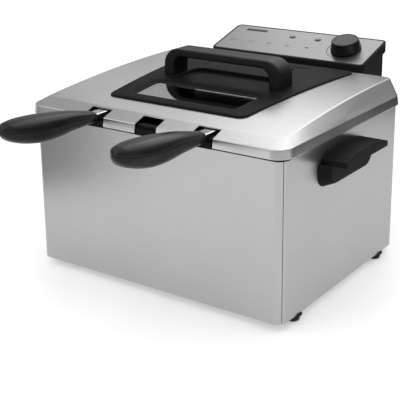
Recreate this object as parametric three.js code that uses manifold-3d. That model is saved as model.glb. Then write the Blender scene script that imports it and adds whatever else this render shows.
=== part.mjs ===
// Countertop deep fryer with two lift-out baskets, a lift-off lid, a removable oil pot and a
// removable control unit that carries the heating element. Millimetres, +Z up, front towards -Y.
// The origin is on the surface the fryer stands on, at the middle of the whole object's box.
import * as THREE from 'three';
import { mergeVertices } from 'three/addons/utils/BufferGeometryUtils.js';
import Module from 'manifold-3d';

const wasm = await Module();
wasm.setup();

// ---------- driving dimensions ----------
const GAP = 0.35; // clearance between touching pieces
const CORNER_STEPS = 4; // segments in a rounded corner
const BAR_STEP = 15; // length of each straight stretch of a bent bar
const SCREW_SIDES = 8;

const HOUSING = { width: 360, depth: 289, bottom: 9, top: 199.2, radius: 12, sheet: 1.0, seamAngle: 55 };
const FOOT = { x: 172, y: 105, radius: 8.5, flangeRadius: 11, flangeThick: 2.2, neckRadius: 5.5,
  screwRadius: 1.8 };
const RIM_FRAME = { top: 201.5, flange: 2, skirtDepth: 12, skirtWall: 2.2, openX: 163.5, openY: 126 };
const REST = { xs: [-78, 0, 78], width: 28.5, front: -149.3, back: -136, top: 212.2,
  lipTop: 208, lipDepth: 3.5 };
const POT = { halfX: 160, halfY: 121, centreY: -4, radius: 30, wall: 1.2, bottom: 44,
  flange: 9, flangeThick: 1.4 };
// An arched plate over a block that narrows from the wall to its outward face.
const SIDE_HANDLE = { y: -7.5, halfPlate: 52.5, reach: 32, plateBottom: 175, endThick: 6.5, arch: 6,
  wallHalf: 61.5, wallBottom: 147, faceHalf: 52.5, faceBottom: 151, blockThick: 12.5, blockRadius: 17,
  screwY: 34, screwZ: 161, screwRadius: 1.8 };

const LID = { halfWidth: 185.5, front: -150, rear: 147, rimBottom: 202, rimTop: 213, sheet: 1.0, lip: 11,
  rimRadius: 21, creaseRadius: 8, bevelSide: 14, creaseFront: -127, creaseRear: 137 };
const ARCH = { peakZ: 235, peakY: 118, curvature: 2.45e-4 };
const NOTCH = { width: 31, back: -130, top: 222 };
const REAR_RELIEF = { halfWidth: 62, top: 214.5 };
const INSERT = { frontY: -97, rearY: 134, frontHalf: 100, rearHalf: 123.5, radius: 12, overlap: 7,
  proud: 2.6, plugDepth: 6.5 };
const WINDOW = { frontY: -78, rearY: -23, frontHalf: 76, rearHalf: 79, radius: 8, sealWidth: 2.2,
  glassTop: -0.4, glassBottom: -3.6, sealTop: 0.9, sealBottom: -4.4 };
const DISH = { halfX: 67, front: -10, rear: 49, radius: 14, floor: -2.6 };
const FILTER = { halfX: 68, front: 62, rear: 113, radius: 5, floor: -5, coverTop: 2.2, coverBottom: 0.2,
  matTop: -0.4, slotCount: 9, slotWidth: 3, slotPitch: 12, slotFront: 86, slotRear: 104,
  ventCount: 4, ventWidth: 18, ventPitch: 28 };
const LID_HANDLE = { half: 88, leg: 17, front: 2, depth: 32, top: 269, bar: 10.5, outerRadius: 22,
  innerRadius: 13, screwY: 18, screwRadius: 2 };

const BASKET = { xs: { left: -78, right: 78 }, y: -18.5, halfX: 73, halfY: 95, radius: 18, wall: 1.8,
  bottom: 80, top: 197, rimWidth: 2.8, rimHeight: 4.5 };
const STRAP = { width: 15, thick: 4.5, z: 212.6, tang: 32 };
const GRIP = { start: -152.2, seam: 0.52, steps: 7, screwY: -172.2, screwRadius: 1.7, headRadius: 3.2 };
// Along the grip: distance from its inner end, lower edge, upper edge, half width.
const GRIP_STATIONS = [
  [0, 206.2, 220.5, 10],
  [21, 206.2, 225.2, 12.3],
  [43, 205.8, 230.1, 14.6],
  [71, 204.4, 234.4, 17.4],
  [94, 205.6, 236.8, 18.5],
  [114, 209.5, 238, 17.7],
  [128, 214, 237.8, 14.8],
  [137, 218.6, 236.8, 10.5],
  [142, 223.5, 234.5, 4.5],
];

const UNIT = { middleX: 3, half: 120, frontY: 152.5, frontZ: 240.5, rearY: 226.5, rearZ: 262.5, capThick: 14,
  capRadius: 7, bodyInset: 3, wall: 2.5, bodyFront: 153, bodyBottom: 118, recess: 1.2, bezel: 3 };
const FACEPLATE = { thick: 0.8, radius: 4 };
const KNOB = { u: 79.5, v: 0, radius: 21, topRadius: 18, height: 15, lift: 1.2, shaftRadius: 3 };
const THERMOSTAT = { below: 5.5, depth: 24, radius: 17 };
const LAMP = { us: { red: -14, green: 27 }, v: 17.5, radiusU: 4.6, radiusV: 3.4, proud: 1.2, depth: 7 };
const BRACKET = { half: 56, z: 203.7, thick: 1.5, dropY: 111.5, dropBottom: 72, rearBottom: 176,
  screwXs: [-45, 45], screwZ: 186, screwRadius: 1.7 };
const ELEMENT = { radius: 3.7, overRim: 210.2, terminalX: 40, inUnitY: 168, dropY: 102.5, z: 59,
  spreadX: 132, front: -96, rear: 52, innerX: 34 };
const PROBE = { radius: 2.2, x: 0, z: 72, front: 30 };
const RESET = { x: 60, z: 160, radius: 5, travel: 3, guideRadius: 8.5 };
const GLAND = { x: -60, z: 142, bore: 3.6, radius: 8, flangeRadius: 10.5 };

// ---------- colours ----------
const material = (color, roughness, metalness) => new THREE.MeshStandardMaterial(
  { color, roughness, metalness });
const BRUSHED = material(0xb9bbbd, 0.35, 1);
const BRIGHT = material(0xd2d3d4, 0.2, 1);
const BLACK = material(0x1c1c1d, 0.45, 0);
const SATIN = material(0x161617, 0.3, 0);
const RUBBER = material(0x101010, 0.9, 0);
const DARK_METAL = material(0x56585b, 0.4, 1);
const GLASS = material(0x8d949a, 0.05, 0);
GLASS.transparent = true;
GLASS.opacity = 0.4;
const RED = material(0x8f1322, 0.25, 0);
const GREEN = material(0x14695a, 0.25, 0);

// ---------- solid helpers ----------
const toSolid = (geometry) => {
  const g = geometry.clone();
  g.deleteAttribute('normal');
  g.deleteAttribute('uv');
  const merged = mergeVertices(g, 1e-4);
  return new wasm.Manifold(new wasm.Mesh({
    numProp: 3,
    vertProperties: new Float32Array(merged.attributes.position.array),
    triVerts: new Uint32Array(merged.index.array),
  }));
};

const toGeometry = (solid) => {
  const mesh = solid.getMesh();
  const geometry = new THREE.BufferGeometry();
  geometry.setAttribute('position', new THREE.BufferAttribute(new Float32Array(mesh.vertProperties), 3));
  geometry.setIndex(Array.from(mesh.triVerts));
  return geometry;
};

const join = (first, ...rest) => rest.reduce((sum, piece) => sum.add(piece), first);
const cut = (first, ...rest) => rest.reduce((sum, piece) => sum.subtract(piece), first);
const common = (first, ...rest) => rest.reduce((sum, piece) => sum.intersect(piece), first);

const object = new THREE.Group();
const assembly = new THREE.Group();
object.add(assembly);

function addNode(name, shape, look) {
  const geometry = shape.isBufferGeometry ? shape : toGeometry(shape);
  const mesh = new THREE.Mesh(geometry, look);
  mesh.name = name;
  assembly.add(mesh);
}

// A box between two corners.
function block(x0, x1, y0, y1, z0, z1) {
  const geometry = new THREE.BoxGeometry(x1 - x0, y1 - y0, z1 - z0);
  geometry.translate((x0 + x1) / 2, (y0 + y1) / 2, (z0 + z1) / 2);
  return toSolid(geometry);
}

// A round bar from one point to another.
function rod(from, to, radius, sides = 12) {
  const start = new THREE.Vector3(...from);
  const along = new THREE.Vector3(...to).sub(start);
  const geometry = new THREE.CylinderGeometry(radius, radius, along.length(), sides);
  geometry.translate(0, along.length() / 2, 0);
  geometry.applyQuaternion(new THREE.Quaternion().setFromUnitVectors(
    new THREE.Vector3(0, 1, 0), along.clone().normalize()));
  geometry.translate(start.x, start.y, start.z);
  return toSolid(geometry);
}

// A four-sided outline with rounded corners: half widths at the front and the rear edge.
function outline(frontY, rearY, frontHalf, rearHalf, radius, centreX = 0) {
  const corners = [[-frontHalf, frontY], [frontHalf, frontY], [rearHalf, rearY], [-rearHalf, rearY]]
    .map(([x, y]) => new THREE.Vector2(centreX + x, y));
  const shape = new THREE.Shape();
  corners.forEach((corner, i) => {
    const before = corners[(i + 3) % 4].clone().sub(corner).normalize();
    const after = corners[(i + 1) % 4].clone().sub(corner).normalize();
    const halfAngle = Math.acos(before.dot(after)) / 2;
    const trim = radius / Math.tan(halfAngle);
    const start = corner.clone().addScaledVector(before, trim);
    const centre = corner.clone().add(before.clone().add(after).setLength(radius / Math.sin(halfAngle)));
    const end = corner.clone().addScaledVector(after, trim);
    const from = Math.atan2(start.y - centre.y, start.x - centre.x);
    const to = Math.atan2(end.y - centre.y, end.x - centre.x);
    shape.absarc(centre.x, centre.y, radius, from, to, false);
  });
  return shape;
}

const rectangle = (halfX, halfY, radius, x = 0, y = 0) => outline(
  y - halfY, y + halfY, halfX, halfX, radius, x);

// An outline in the XY plane, made solid from one height to another.
function slab(shape, z0, z1) {
  const geometry = new THREE.ExtrudeGeometry(shape, {
    depth: z1 - z0, bevelEnabled: false, curveSegments: CORNER_STEPS });
  geometry.translate(0, 0, z0);
  return toSolid(geometry);
}

// An outline in the YZ plane (points are [y, z]), made solid from one x to another.
function profile(shape, x0, x1) {
  const geometry = new THREE.ExtrudeGeometry(shape, {
    depth: x1 - x0, bevelEnabled: false, curveSegments: CORNER_STEPS + 3 });
  geometry.applyMatrix4(new THREE.Matrix4().makeBasis(
    new THREE.Vector3(0, 1, 0), new THREE.Vector3(0, 0, 1), new THREE.Vector3(1, 0, 0)));
  geometry.translate(x0, 0, 0);
  return toSolid(geometry);
}

const polygon = (points) => new THREE.Shape(points.map(([x, y]) => new THREE.Vector2(x, y)));

// A round bar that follows a rounded polyline.
function bentBar(points, radius, bend, sides) {
  const corners = points.map((p) => new THREE.Vector3(...p));
  const path = new THREE.CurvePath();
  let last = corners[0];
  for (let i = 1; i < corners.length - 1; i += 1) {
    const inward = corners[i].clone().sub(corners[i - 1]).setLength(bend);
    const outward = corners[i + 1].clone().sub(corners[i]).setLength(bend);
    const start = corners[i].clone().sub(inward);
    const end = corners[i].clone().add(outward);
    path.add(new THREE.LineCurve3(last, start));
    path.add(new THREE.QuadraticBezierCurve3(start, corners[i], end));
    last = end;
  }
  path.add(new THREE.LineCurve3(last, corners[corners.length - 1]));
  const length = path.getLength();
  const circle = new THREE.Shape();
  circle.absarc(0, 0, radius, 0, Math.PI * 2, false);
  const geometry = new THREE.ExtrudeGeometry(circle, {
    extrudePath: path, steps: Math.round(length / BAR_STEP),
    curveSegments: Math.ceil(sides / 2), bevelEnabled: false });
  return toSolid(geometry);
}

// ---------- housing ----------
const wallX = HOUSING.width / 2;
const wallY = HOUSING.depth / 2;

function housingWall() {
  const outer = rectangle(wallX, wallY, HOUSING.radius);
  outer.holes.push(rectangle(wallX - HOUSING.sheet, wallY - HOUSING.sheet, HOUSING.radius - HOUSING.sheet));
  return slab(outer, HOUSING.bottom, HOUSING.top);
}

function addHousing() {
  // The front panel wraps part of the way round both front corners and meets the back panel there.
  const seam = -wallY + HOUSING.radius * (1 - Math.cos(THREE.MathUtils.degToRad(HOUSING.seamAngle)));
  const frontSide = block(-wallX - 5, wallX + 5, -wallY - 5, seam - GAP / 2, 0, 250);
  const backSide = block(-wallX - 5, wallX + 5, seam + GAP / 2, wallY + 5, 0, 250);
  const holes = handleScrewPlaces().map(([x, y, z]) => rod([x - 6, y, z], [x + 6, y, z], 2.4));
  addNode('front_panel', common(housingWall(), frontSide), BRUSHED);
  addNode('side_and_back_panel', cut(common(housingWall(), backSide), ...holes), BRUSHED);

  const inset = HOUSING.sheet + GAP;
  const basePlate = slab(rectangle(wallX - inset, wallY - inset, HOUSING.radius - inset), 10, 11.6);
  const vents = [-2, -1, 0, 1, 2].map((i) => block(i * 30 - 4, i * 30 + 4, -40, 40, 9, 13));
  const screwHoles = footPlaces().map(([x, y]) => rod([x, y, 9], [x, y, 13], FOOT.screwRadius + GAP));
  addNode('base_plate', cut(basePlate, ...vents, ...screwHoles), DARK_METAL);
}

const footPlaces = () => [[-1, -1], [1, -1], [-1, 1], [1, 1]].map(([sx, sy]) => [sx * FOOT.x, sy * FOOT.y]);

function addFeet() {
  const names = ['front_left', 'front_right', 'rear_left', 'rear_right'];
  const top = 10 - GAP;
  const flangeTop = HOUSING.bottom - GAP;
  footPlaces().forEach(([x, y], i) => {
    const profilePoints = [[0, 0], [FOOT.radius - 1, 0], [FOOT.radius, 1],
      [FOOT.radius, flangeTop - FOOT.flangeThick], [FOOT.flangeRadius, flangeTop - FOOT.flangeThick + 0.4],
      [FOOT.flangeRadius, flangeTop], [FOOT.neckRadius, flangeTop], [FOOT.neckRadius, top], [0, top]];
    const lathe = new THREE.LatheGeometry(profilePoints.map((p) => new THREE.Vector2(...p)), 14);
    lathe.rotateX(Math.PI / 2);
    lathe.translate(x, y, 0);
    const hole = rod([x, y, 3], [x, y, 12], FOOT.screwRadius + GAP, SCREW_SIDES);
    addNode(`foot_${names[i]}`, cut(toSolid(lathe), hole), RUBBER);
    const head = rod([x, y, 11.6 + GAP], [x, y, 13.8], 3.4, SCREW_SIDES);
    const shank = rod([x, y, 3 + GAP], [x, y, 12.5], FOOT.screwRadius, SCREW_SIDES);
    addNode(`foot_screw_${names[i]}`, join(head, shank), BRIGHT);
  });
}

// Black plastic frame that caps the housing and carries the pot, the lid and the basket handles.
function addRimFrame() {
  const plate = rectangle(wallX - 0.5, wallY - 0.5, HOUSING.radius - 0.5);
  plate.holes.push(rectangle(RIM_FRAME.openX, RIM_FRAME.openY, POT.radius + 2, 0, POT.centreY));
  const flange = slab(plate, RIM_FRAME.top - RIM_FRAME.flange, RIM_FRAME.top);
  const inset = HOUSING.sheet + GAP;
  const skirtOutline = rectangle(wallX - inset, wallY - inset, HOUSING.radius - inset);
  skirtOutline.holes.push(rectangle(wallX - inset - RIM_FRAME.skirtWall, wallY - inset - RIM_FRAME.skirtWall,
    HOUSING.radius - inset - RIM_FRAME.skirtWall));
  const skirt = slab(skirtOutline, RIM_FRAME.top - RIM_FRAME.skirtDepth, RIM_FRAME.top - 0.5);
  const rests = REST.xs.flatMap((x) => {
    const [left, right, low] = [x - REST.width / 2, x + REST.width / 2, RIM_FRAME.top - 1.5];
    const step = REST.front + REST.lipDepth;
    const lip = block(left, right, REST.front, step + 1, low, REST.lipTop);
    return [lip, block(left, right, step, REST.back, low, REST.top)];
  });
  addNode('rim_frame', join(flange, skirt, ...rests), BLACK);
}

// Drawn oil pot with a rolled flange.
function addPot() {
  const { halfX, halfY, centreY, radius, wall, bottom, flange, flangeThick } = POT;
  const flangeBottom = RIM_FRAME.top + GAP;
  const top = flangeBottom + flangeThick;
  const outside = slab(rectangle(halfX, halfY, radius, 0, centreY), bottom, top);
  const rim = slab(rectangle(halfX + flange, halfY + flange, radius + flange, 0, centreY), flangeBottom, top);
  const hollow = rectangle(halfX - wall, halfY - wall, radius - wall, 0, centreY);
  const inside = slab(hollow, bottom + wall, top + 1);
  addNode('oil_pot', cut(join(outside, rim), inside), DARK_METAL);
}

// ---------- side carrying handles ----------
function handleScrewPlaces() {
  const places = [];
  for (const side of [-1, 1]) {
    for (const along of [-1, 1]) {
      places.push([side * wallX, SIDE_HANDLE.y + along * SIDE_HANDLE.screwY, SIDE_HANDLE.screwZ]);
    }
  }
  return places;
}

function addSideHandles() {
  const h = SIDE_HANDLE;
  const plate = new THREE.Shape();
  const plateTop = h.plateBottom + h.endThick;
  const archRadius = (h.halfPlate ** 2 + h.arch ** 2) / (2 * h.arch);
  const archAngle = Math.asin(h.halfPlate / archRadius);
  plate.moveTo(h.y - h.halfPlate, h.plateBottom);
  plate.lineTo(h.y + h.halfPlate, h.plateBottom);
  plate.lineTo(h.y + h.halfPlate, plateTop);
  plate.absarc(h.y, plateTop + h.arch - archRadius, archRadius,
    Math.PI / 2 - archAngle, Math.PI / 2 + archAngle, false);
  const blockOutline = (half, bottom) => {
    const shape = new THREE.Shape();
    const r = h.blockRadius;
    shape.moveTo(h.y - half, h.plateBottom + 1);
    shape.absarc(h.y - half + r, bottom + r, r, Math.PI, Math.PI * 1.5, false);
    shape.absarc(h.y + half - r, bottom + r, r, Math.PI * 1.5, Math.PI * 2, false);
    shape.lineTo(h.y + half, h.plateBottom + 1);
    return shape;
  };
  const wallFace = wallX + GAP;
  for (const [name, side] of [['left', -1], ['right', 1]]) {
    const span = (near, far) => (side > 0 ? [near, far] : [-far, -near]);
    const outward = wallX + h.blockThick;
    const narrowing = wasm.Manifold.hull([
      profile(blockOutline(h.wallHalf, h.wallBottom), ...span(wallFace, wallFace + 0.5)),
      profile(blockOutline(h.faceHalf, h.faceBottom), ...span(outward - 0.5, outward))]);
    const body = join(profile(plate, ...span(wallFace, wallX + h.reach)), narrowing);
    const places = handleScrewPlaces().filter(([x]) => Math.sign(x) === side);
    const holes = places.map(([x, y, z]) => rod([x, y, z], [x + side * 7, y, z],
      h.screwRadius + GAP, SCREW_SIDES));
    addNode(`side_handle_${name}`, cut(body, ...holes), BLACK);
    places.forEach(([x, y, z], i) => {
      const inner = x - side * (HOUSING.sheet + GAP);
      const head = rod([inner, y, z], [inner - side * 2, y, z], 3.4, SCREW_SIDES);
      const shank = rod([inner - side, y, z], [x + side * 6.5, y, z], h.screwRadius, SCREW_SIDES);
      addNode(`side_handle_screw_${name}_${i + 1}`, join(head, shank), BRIGHT);
    });
  }
}

// ---------- lid ----------
const archZ = (y) => ARCH.peakZ - ARCH.curvature * (y - ARCH.peakY) ** 2;

// A band that follows the lid's arched top, from one height above it to another.
function archBand(low, high) {
  const ys = Array.from({ length: 15 }, (_, i) => LID.front + (i * (LID.rear - LID.front)) / 14);
  const under = ys.map((y) => [y, archZ(y) + low]);
  const over = ys.map((y) => [y, archZ(y) + high]).reverse();
  return profile(polygon([...under, ...over]), -LID.halfWidth, LID.halfWidth);
}

// One level of the lid: points round a rounded rectangle, right side first, then its mirror image.
function lidLevel(half, front, rear, radius, heightAt) {
  const right = [];
  const arc = (cy, from) => {
    for (let i = 0; i <= CORNER_STEPS; i += 1) {
      const angle = from + (i / CORNER_STEPS) * Math.PI / 2;
      right.push([half - radius + radius * Math.cos(angle), cy + radius * Math.sin(angle)]);
    }
  };
  arc(front + radius, -Math.PI / 2);
  const sidePoints = 8;
  for (let i = 1; i < sidePoints; i += 1) {
    right.push([half, front + radius + (i / sidePoints) * (rear - front - 2 * radius)]);
  }
  arc(rear - radius, 0);
  const left = right.map(([x, y]) => [-x, y]).reverse();
  return [...right, ...left].map(([x, y]) => [x, y, heightAt(y)]);
}

// A closed solid through several levels, each with the same number of points.
function loftLevels(levels) {
  const count = levels[0].length;
  const index = [];
  for (let k = 0; k < levels.length - 1; k += 1) {
    for (let i = 0; i < count; i += 1) {
      const next = (i + 1) % count;
      const [a, b, c, d] = [k * count + i, k * count + next, (k + 1) * count + next, (k + 1) * count + i];
      index.push(a, b, c, a, c, d);
    }
  }
  const topStart = (levels.length - 1) * count;
  for (let i = 0; i < count / 2 - 1; i += 1) {
    const [right, rightNext, leftNext, left] = [i, i + 1, count - 2 - i, count - 1 - i];
    const [tr, trn, tln, tl] = [right, rightNext, leftNext, left].map((p) => p + topStart);
    index.push(tr, trn, tln, tr, tln, tl);
    index.push(right, leftNext, rightNext, right, left, leftNext);
  }
  const geometry = new THREE.BufferGeometry();
  geometry.setAttribute('position', new THREE.BufferAttribute(new Float32Array(levels.flat(2)), 3));
  geometry.setIndex(index);
  return toSolid(geometry);
}

function lidForm(inset, bottom) {
  const front = LID.front + inset;
  const rear = LID.rear - inset;
  const half = LID.halfWidth - inset;
  return loftLevels([
    lidLevel(half, front, rear, LID.rimRadius - inset, () => bottom),
    lidLevel(half, front, rear, LID.rimRadius - inset, () => LID.rimTop - inset * 0.5),
    lidLevel(half - LID.bevelSide, LID.creaseFront + inset, LID.creaseRear - inset, LID.creaseRadius,
      (y) => archZ(y) - inset),
  ]);
}

const insertOutline = (margin) => {
  const slope = (INSERT.rearHalf - INSERT.frontHalf) / (INSERT.rearY - INSERT.frontY);
  const rearMargin = Math.min(margin, 3);
  return outline(INSERT.frontY + margin, INSERT.rearY - rearMargin,
    INSERT.frontHalf - margin + slope * margin, INSERT.rearHalf - margin, INSERT.radius - margin * 0.5);
};

const windowOutline = (margin) => outline(WINDOW.frontY + margin, WINDOW.rearY - margin,
  WINDOW.frontHalf - margin, WINDOW.rearHalf - margin, WINDOW.radius - margin * 0.5);

const filterOutline = (margin) => outline(FILTER.front + margin, FILTER.rear - margin,
  FILTER.halfX - margin, FILTER.halfX - margin, FILTER.radius - margin);

const tall = (shape) => slab(shape, 190, 280);

// Places evenly spaced in a row, centred on 0.
const inRow = (count, pitch) => Array.from({ length: count }, (_, i) => (i - (count - 1) / 2) * pitch);

function addLidShell() {
  const hollow = lidForm(LID.sheet, LID.rimBottom + LID.sheet);
  const lipHole = slab(outline(LID.front + LID.lip, LID.rear - LID.lip, LID.halfWidth - LID.lip,
    LID.halfWidth - LID.lip, LID.rimRadius), LID.rimBottom - 1, LID.rimBottom + 2);
  const notches = REST.xs.map((x) => block(x - NOTCH.width / 2, x + NOTCH.width / 2,
    LID.front - 2, NOTCH.back, LID.rimBottom - 1, NOTCH.top));
  const relief = block(-REAR_RELIEF.halfWidth, REAR_RELIEF.halfWidth, LID.rear - 14, LID.rear + 2,
    LID.rimBottom - 1, REAR_RELIEF.top);
  const opening = tall(insertOutline(INSERT.overlap));
  const shell = cut(lidForm(0, LID.rimBottom), hollow, lipHole, ...notches, relief, opening);
  addNode('lid_shell', shell, BRUSHED);
}

const legCentre = LID_HANDLE.half - LID_HANDLE.leg / 2;
const screwBase = archZ(LID_HANDLE.screwY) - INSERT.plugDepth;

function addLidInsert() {
  const flange = common(tall(insertOutline(0)), archBand(GAP, INSERT.proud));
  const plug = common(tall(insertOutline(INSERT.overlap + GAP)), archBand(-INSERT.plugDepth, 1));
  const windowHole = tall(windowOutline(0));
  const dish = common(tall(outline(DISH.front, DISH.rear, DISH.halfX, DISH.halfX, DISH.radius)),
    archBand(DISH.floor, 20));
  const filterPocket = common(tall(filterOutline(0)), archBand(FILTER.floor, 20));
  const vents = inRow(FILTER.ventCount, FILTER.ventPitch).map((x) => block(
    x - FILTER.ventWidth / 2, x + FILTER.ventWidth / 2, FILTER.front + 8, FILTER.rear - 8, 200, 240));
  const screwHoles = [-legCentre, legCentre].map((x) => rod(
    [x, LID_HANDLE.screwY, 215], [x, LID_HANDLE.screwY, 240], LID_HANDLE.screwRadius + GAP, SCREW_SIDES));
  const openings = [windowHole, dish, filterPocket, ...vents, ...screwHoles];
  addNode('lid_insert', cut(join(flange, plug), ...openings), BLACK);
}

function addWindow() {
  const pane = tall(windowOutline(WINDOW.sealWidth + GAP));
  addNode('window_glass', common(pane, archBand(WINDOW.glassBottom, WINDOW.glassTop)), GLASS);
  const ring = cut(tall(windowOutline(GAP)), tall(windowOutline(WINDOW.sealWidth)));
  addNode('window_seal', common(ring, archBand(WINDOW.sealBottom, WINDOW.sealTop)), RUBBER);
}

function addFilter() {
  const inner = filterOutline(GAP);
  const slots = inRow(FILTER.slotCount, FILTER.slotPitch).map((x) => block(
    x - FILTER.slotWidth / 2, x + FILTER.slotWidth / 2, FILTER.slotFront, FILTER.slotRear, 200, 240));
  const cover = common(tall(inner), archBand(FILTER.coverBottom, FILTER.coverTop));
  addNode('filter_cover', cut(cover, ...slots), BLACK);
  addNode('filter_mat', common(tall(inner), archBand(FILTER.floor + GAP, FILTER.matTop)), DARK_METAL);
}

function addLidHandle() {
  const h = LID_HANDLE;
  const arch = (half, top, radius) => {
    const shape = new THREE.Shape();
    shape.moveTo(-half, 200);
    shape.lineTo(half, 200);
    shape.absarc(half - radius, top - radius, radius, 0, Math.PI / 2, false);
    shape.absarc(-half + radius, top - radius, radius, Math.PI / 2, Math.PI, false);
    return shape;
  };
  const along = (shape) => {
    const geometry = new THREE.ExtrudeGeometry(shape, {
      depth: h.depth, bevelEnabled: false, curveSegments: 6 });
    geometry.rotateX(Math.PI / 2);
    geometry.translate(0, h.front + h.depth, 0);
    return toSolid(geometry);
  };
  const loop = cut(along(arch(h.half, h.top, h.outerRadius)),
    along(arch(h.half - h.leg, h.top - h.bar, h.innerRadius)));
  const standing = common(loop, archBand(INSERT.proud + GAP, 60));
  const screws = [-legCentre, legCentre].map((x) => {
    const head = rod([x, h.screwY, screwBase - 2.4], [x, h.screwY, screwBase - GAP], 4, SCREW_SIDES);
    const shank = rod([x, h.screwY, screwBase - 1], [x, h.screwY, 248], h.screwRadius, SCREW_SIDES);
    return join(head, shank);
  });
  const holes = [-legCentre, legCentre].map((x) => rod(
    [x, h.screwY, 230], [x, h.screwY, 249], h.screwRadius + GAP, SCREW_SIDES));
  addNode('lid_handle', cut(standing, ...holes), BLACK);
  addNode('lid_handle_screw_left', screws[0], BRIGHT);
  addNode('lid_handle_screw_right', screws[1], BRIGHT);
}

// ---------- baskets ----------
function basketCage(x) {
  const { halfX, halfY, radius, wall, bottom, top, y } = BASKET;
  const outside = slab(rectangle(halfX, halfY, radius, x, y), bottom, top);
  const inside = slab(rectangle(halfX - wall, halfY - wall, radius - wall, x, y), bottom + wall, top + 1);
  return cut(outside, inside);
}

function basketRim(x) {
  const { halfX, halfY, radius, rimWidth, rimHeight, top, y } = BASKET;
  const ring = rectangle(halfX + GAP + rimWidth, halfY + GAP + rimWidth, radius + GAP + rimWidth, x, y);
  ring.holes.push(rectangle(halfX + GAP, halfY + GAP, radius + GAP, x, y));
  return slab(ring, top - rimHeight, top);
}

const rimFront = BASKET.y - BASKET.halfY - GAP - BASKET.rimWidth;
const strapOutline = (grow) => {
  const outer = rimFront - GAP - STRAP.thick - grow;
  const inner = rimFront - GAP + grow;
  const end = GRIP.start - STRAP.tang - grow;
  const low = STRAP.z - grow;
  const high = STRAP.z + STRAP.thick + grow;
  return polygon([[inner, BASKET.top - 14], [inner, high], [end, high], [end, low], [outer, low],
    [outer, BASKET.top - 14]]);
};
const strap = (x, grow = 0) => profile(
  strapOutline(grow), x - STRAP.width / 2 - grow, x + STRAP.width / 2 + grow);

// Half of the grip, above or below the seam: one flat face and a half-oval outside.
function gripHalf(x, upper) {
  const count = GRIP.steps + 1;
  const stations = GRIP_STATIONS.map(([along, low, high, half]) => {
    const seam = low + (high - low) * GRIP.seam;
    const edge = seam + (upper ? GAP / 2 : -GAP / 2);
    const tip = upper ? high : low;
    return Array.from({ length: count }, (_, i) => {
      const angle = (i / GRIP.steps) * Math.PI;
      const across = Math.sign(Math.cos(angle)) * Math.abs(Math.cos(angle)) ** 0.8;
      const rise = Math.sin(angle) ** 0.8;
      return [x + half * across, GRIP.start - along, edge + (tip - edge) * rise];
    });
  });
  const index = [];
  for (let k = 0; k < stations.length - 1; k += 1) {
    for (let i = 0; i < count; i += 1) {
      const next = (i + 1) % count;
      const [a, b, c, d] = [k * count + i, k * count + next, (k + 1) * count + next, (k + 1) * count + i];
      index.push(a, b, c, a, c, d);
    }
  }
  const last = (stations.length - 1) * count;
  for (let i = 1; i < count - 1; i += 1) {
    index.push(0, i + 1, i);
    index.push(last, last + i, last + i + 1);
  }
  if (!upper) {
    for (let i = 0; i < index.length; i += 3) {
      [index[i + 1], index[i + 2]] = [index[i + 2], index[i + 1]];
    }
  }
  const geometry = new THREE.BufferGeometry();
  geometry.setAttribute('position', new THREE.BufferAttribute(new Float32Array(stations.flat(2)), 3));
  geometry.setIndex(index);
  return toSolid(geometry);
}

function addBasket(name, x) {
  addNode(`basket_${name}_cage`, basketCage(x), BRIGHT);
  addNode(`basket_${name}_rim`, basketRim(x), BRIGHT);
  const screw = (low, high, radius) => rod(
    [x, GRIP.screwY, low], [x, GRIP.screwY, high], radius, SCREW_SIDES);
  const screwHole = screw(195, 219.6, GRIP.screwRadius + GAP);
  addNode(`basket_${name}_handle_strap`, cut(strap(x), screwHole), BRIGHT);
  const cutters = [strap(x, GAP), screwHole, screw(195, 208.3, GRIP.headRadius + 0.2 + GAP)];
  addNode(`basket_${name}_grip_upper`, cut(gripHalf(x, true), ...cutters), SATIN);
  addNode(`basket_${name}_grip_lower`, cut(gripHalf(x, false), ...cutters), SATIN);
  const head = screw(206.4, 208, GRIP.headRadius);
  addNode(`basket_${name}_grip_screw`, join(head, screw(207, 219, GRIP.screwRadius)), BRIGHT);
}

// ---------- control unit ----------
const bracketRearY = UNIT.bodyFront - GAP - BRACKET.thick;
const slopeAngle = Math.atan2(UNIT.rearZ - UNIT.frontZ, UNIT.rearY - UNIT.frontY);
const slopeLength = Math.hypot(UNIT.rearZ - UNIT.frontZ, UNIT.rearY - UNIT.frontY);
// Everything on the panel is drawn flat, with v along the slope from its middle and z along its normal.
const panelPlace = new THREE.Matrix4().makeRotationX(slopeAngle)
  .setPosition(0, (UNIT.frontY + UNIT.rearY) / 2, (UNIT.frontZ + UNIT.rearZ) / 2);
const onPanel = (solid) => toSolid(toGeometry(solid).applyMatrix4(panelPlace));

function oval(radiusU, radiusV, u, v, z0, z1) {
  const shape = new THREE.Shape();
  shape.absellipse(u, v, radiusU, radiusV, 0, Math.PI * 2, false, 0);
  const geometry = new THREE.ExtrudeGeometry(shape, {
    depth: z1 - z0, bevelEnabled: false, curveSegments: 8 });
  geometry.translate(0, 0, z0);
  return toSolid(geometry);
}

const lampHoles = (z0, z1, grow) => Object.values(LAMP.us).map((u) => oval(
  LAMP.radiusU + grow, LAMP.radiusV + grow, u, LAMP.v, z0, z1));
const shaftHole = (z0, z1) => rod([KNOB.u, KNOB.v, z0], [KNOB.u, KNOB.v, z1], KNOB.shaftRadius + GAP, 14);

const bracketScrews = (y0, y1, radius) => BRACKET.screwXs.map((x) => rod(
  [x, y0, BRACKET.screwZ], [x, y1, BRACKET.screwZ], radius, SCREW_SIDES));

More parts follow.
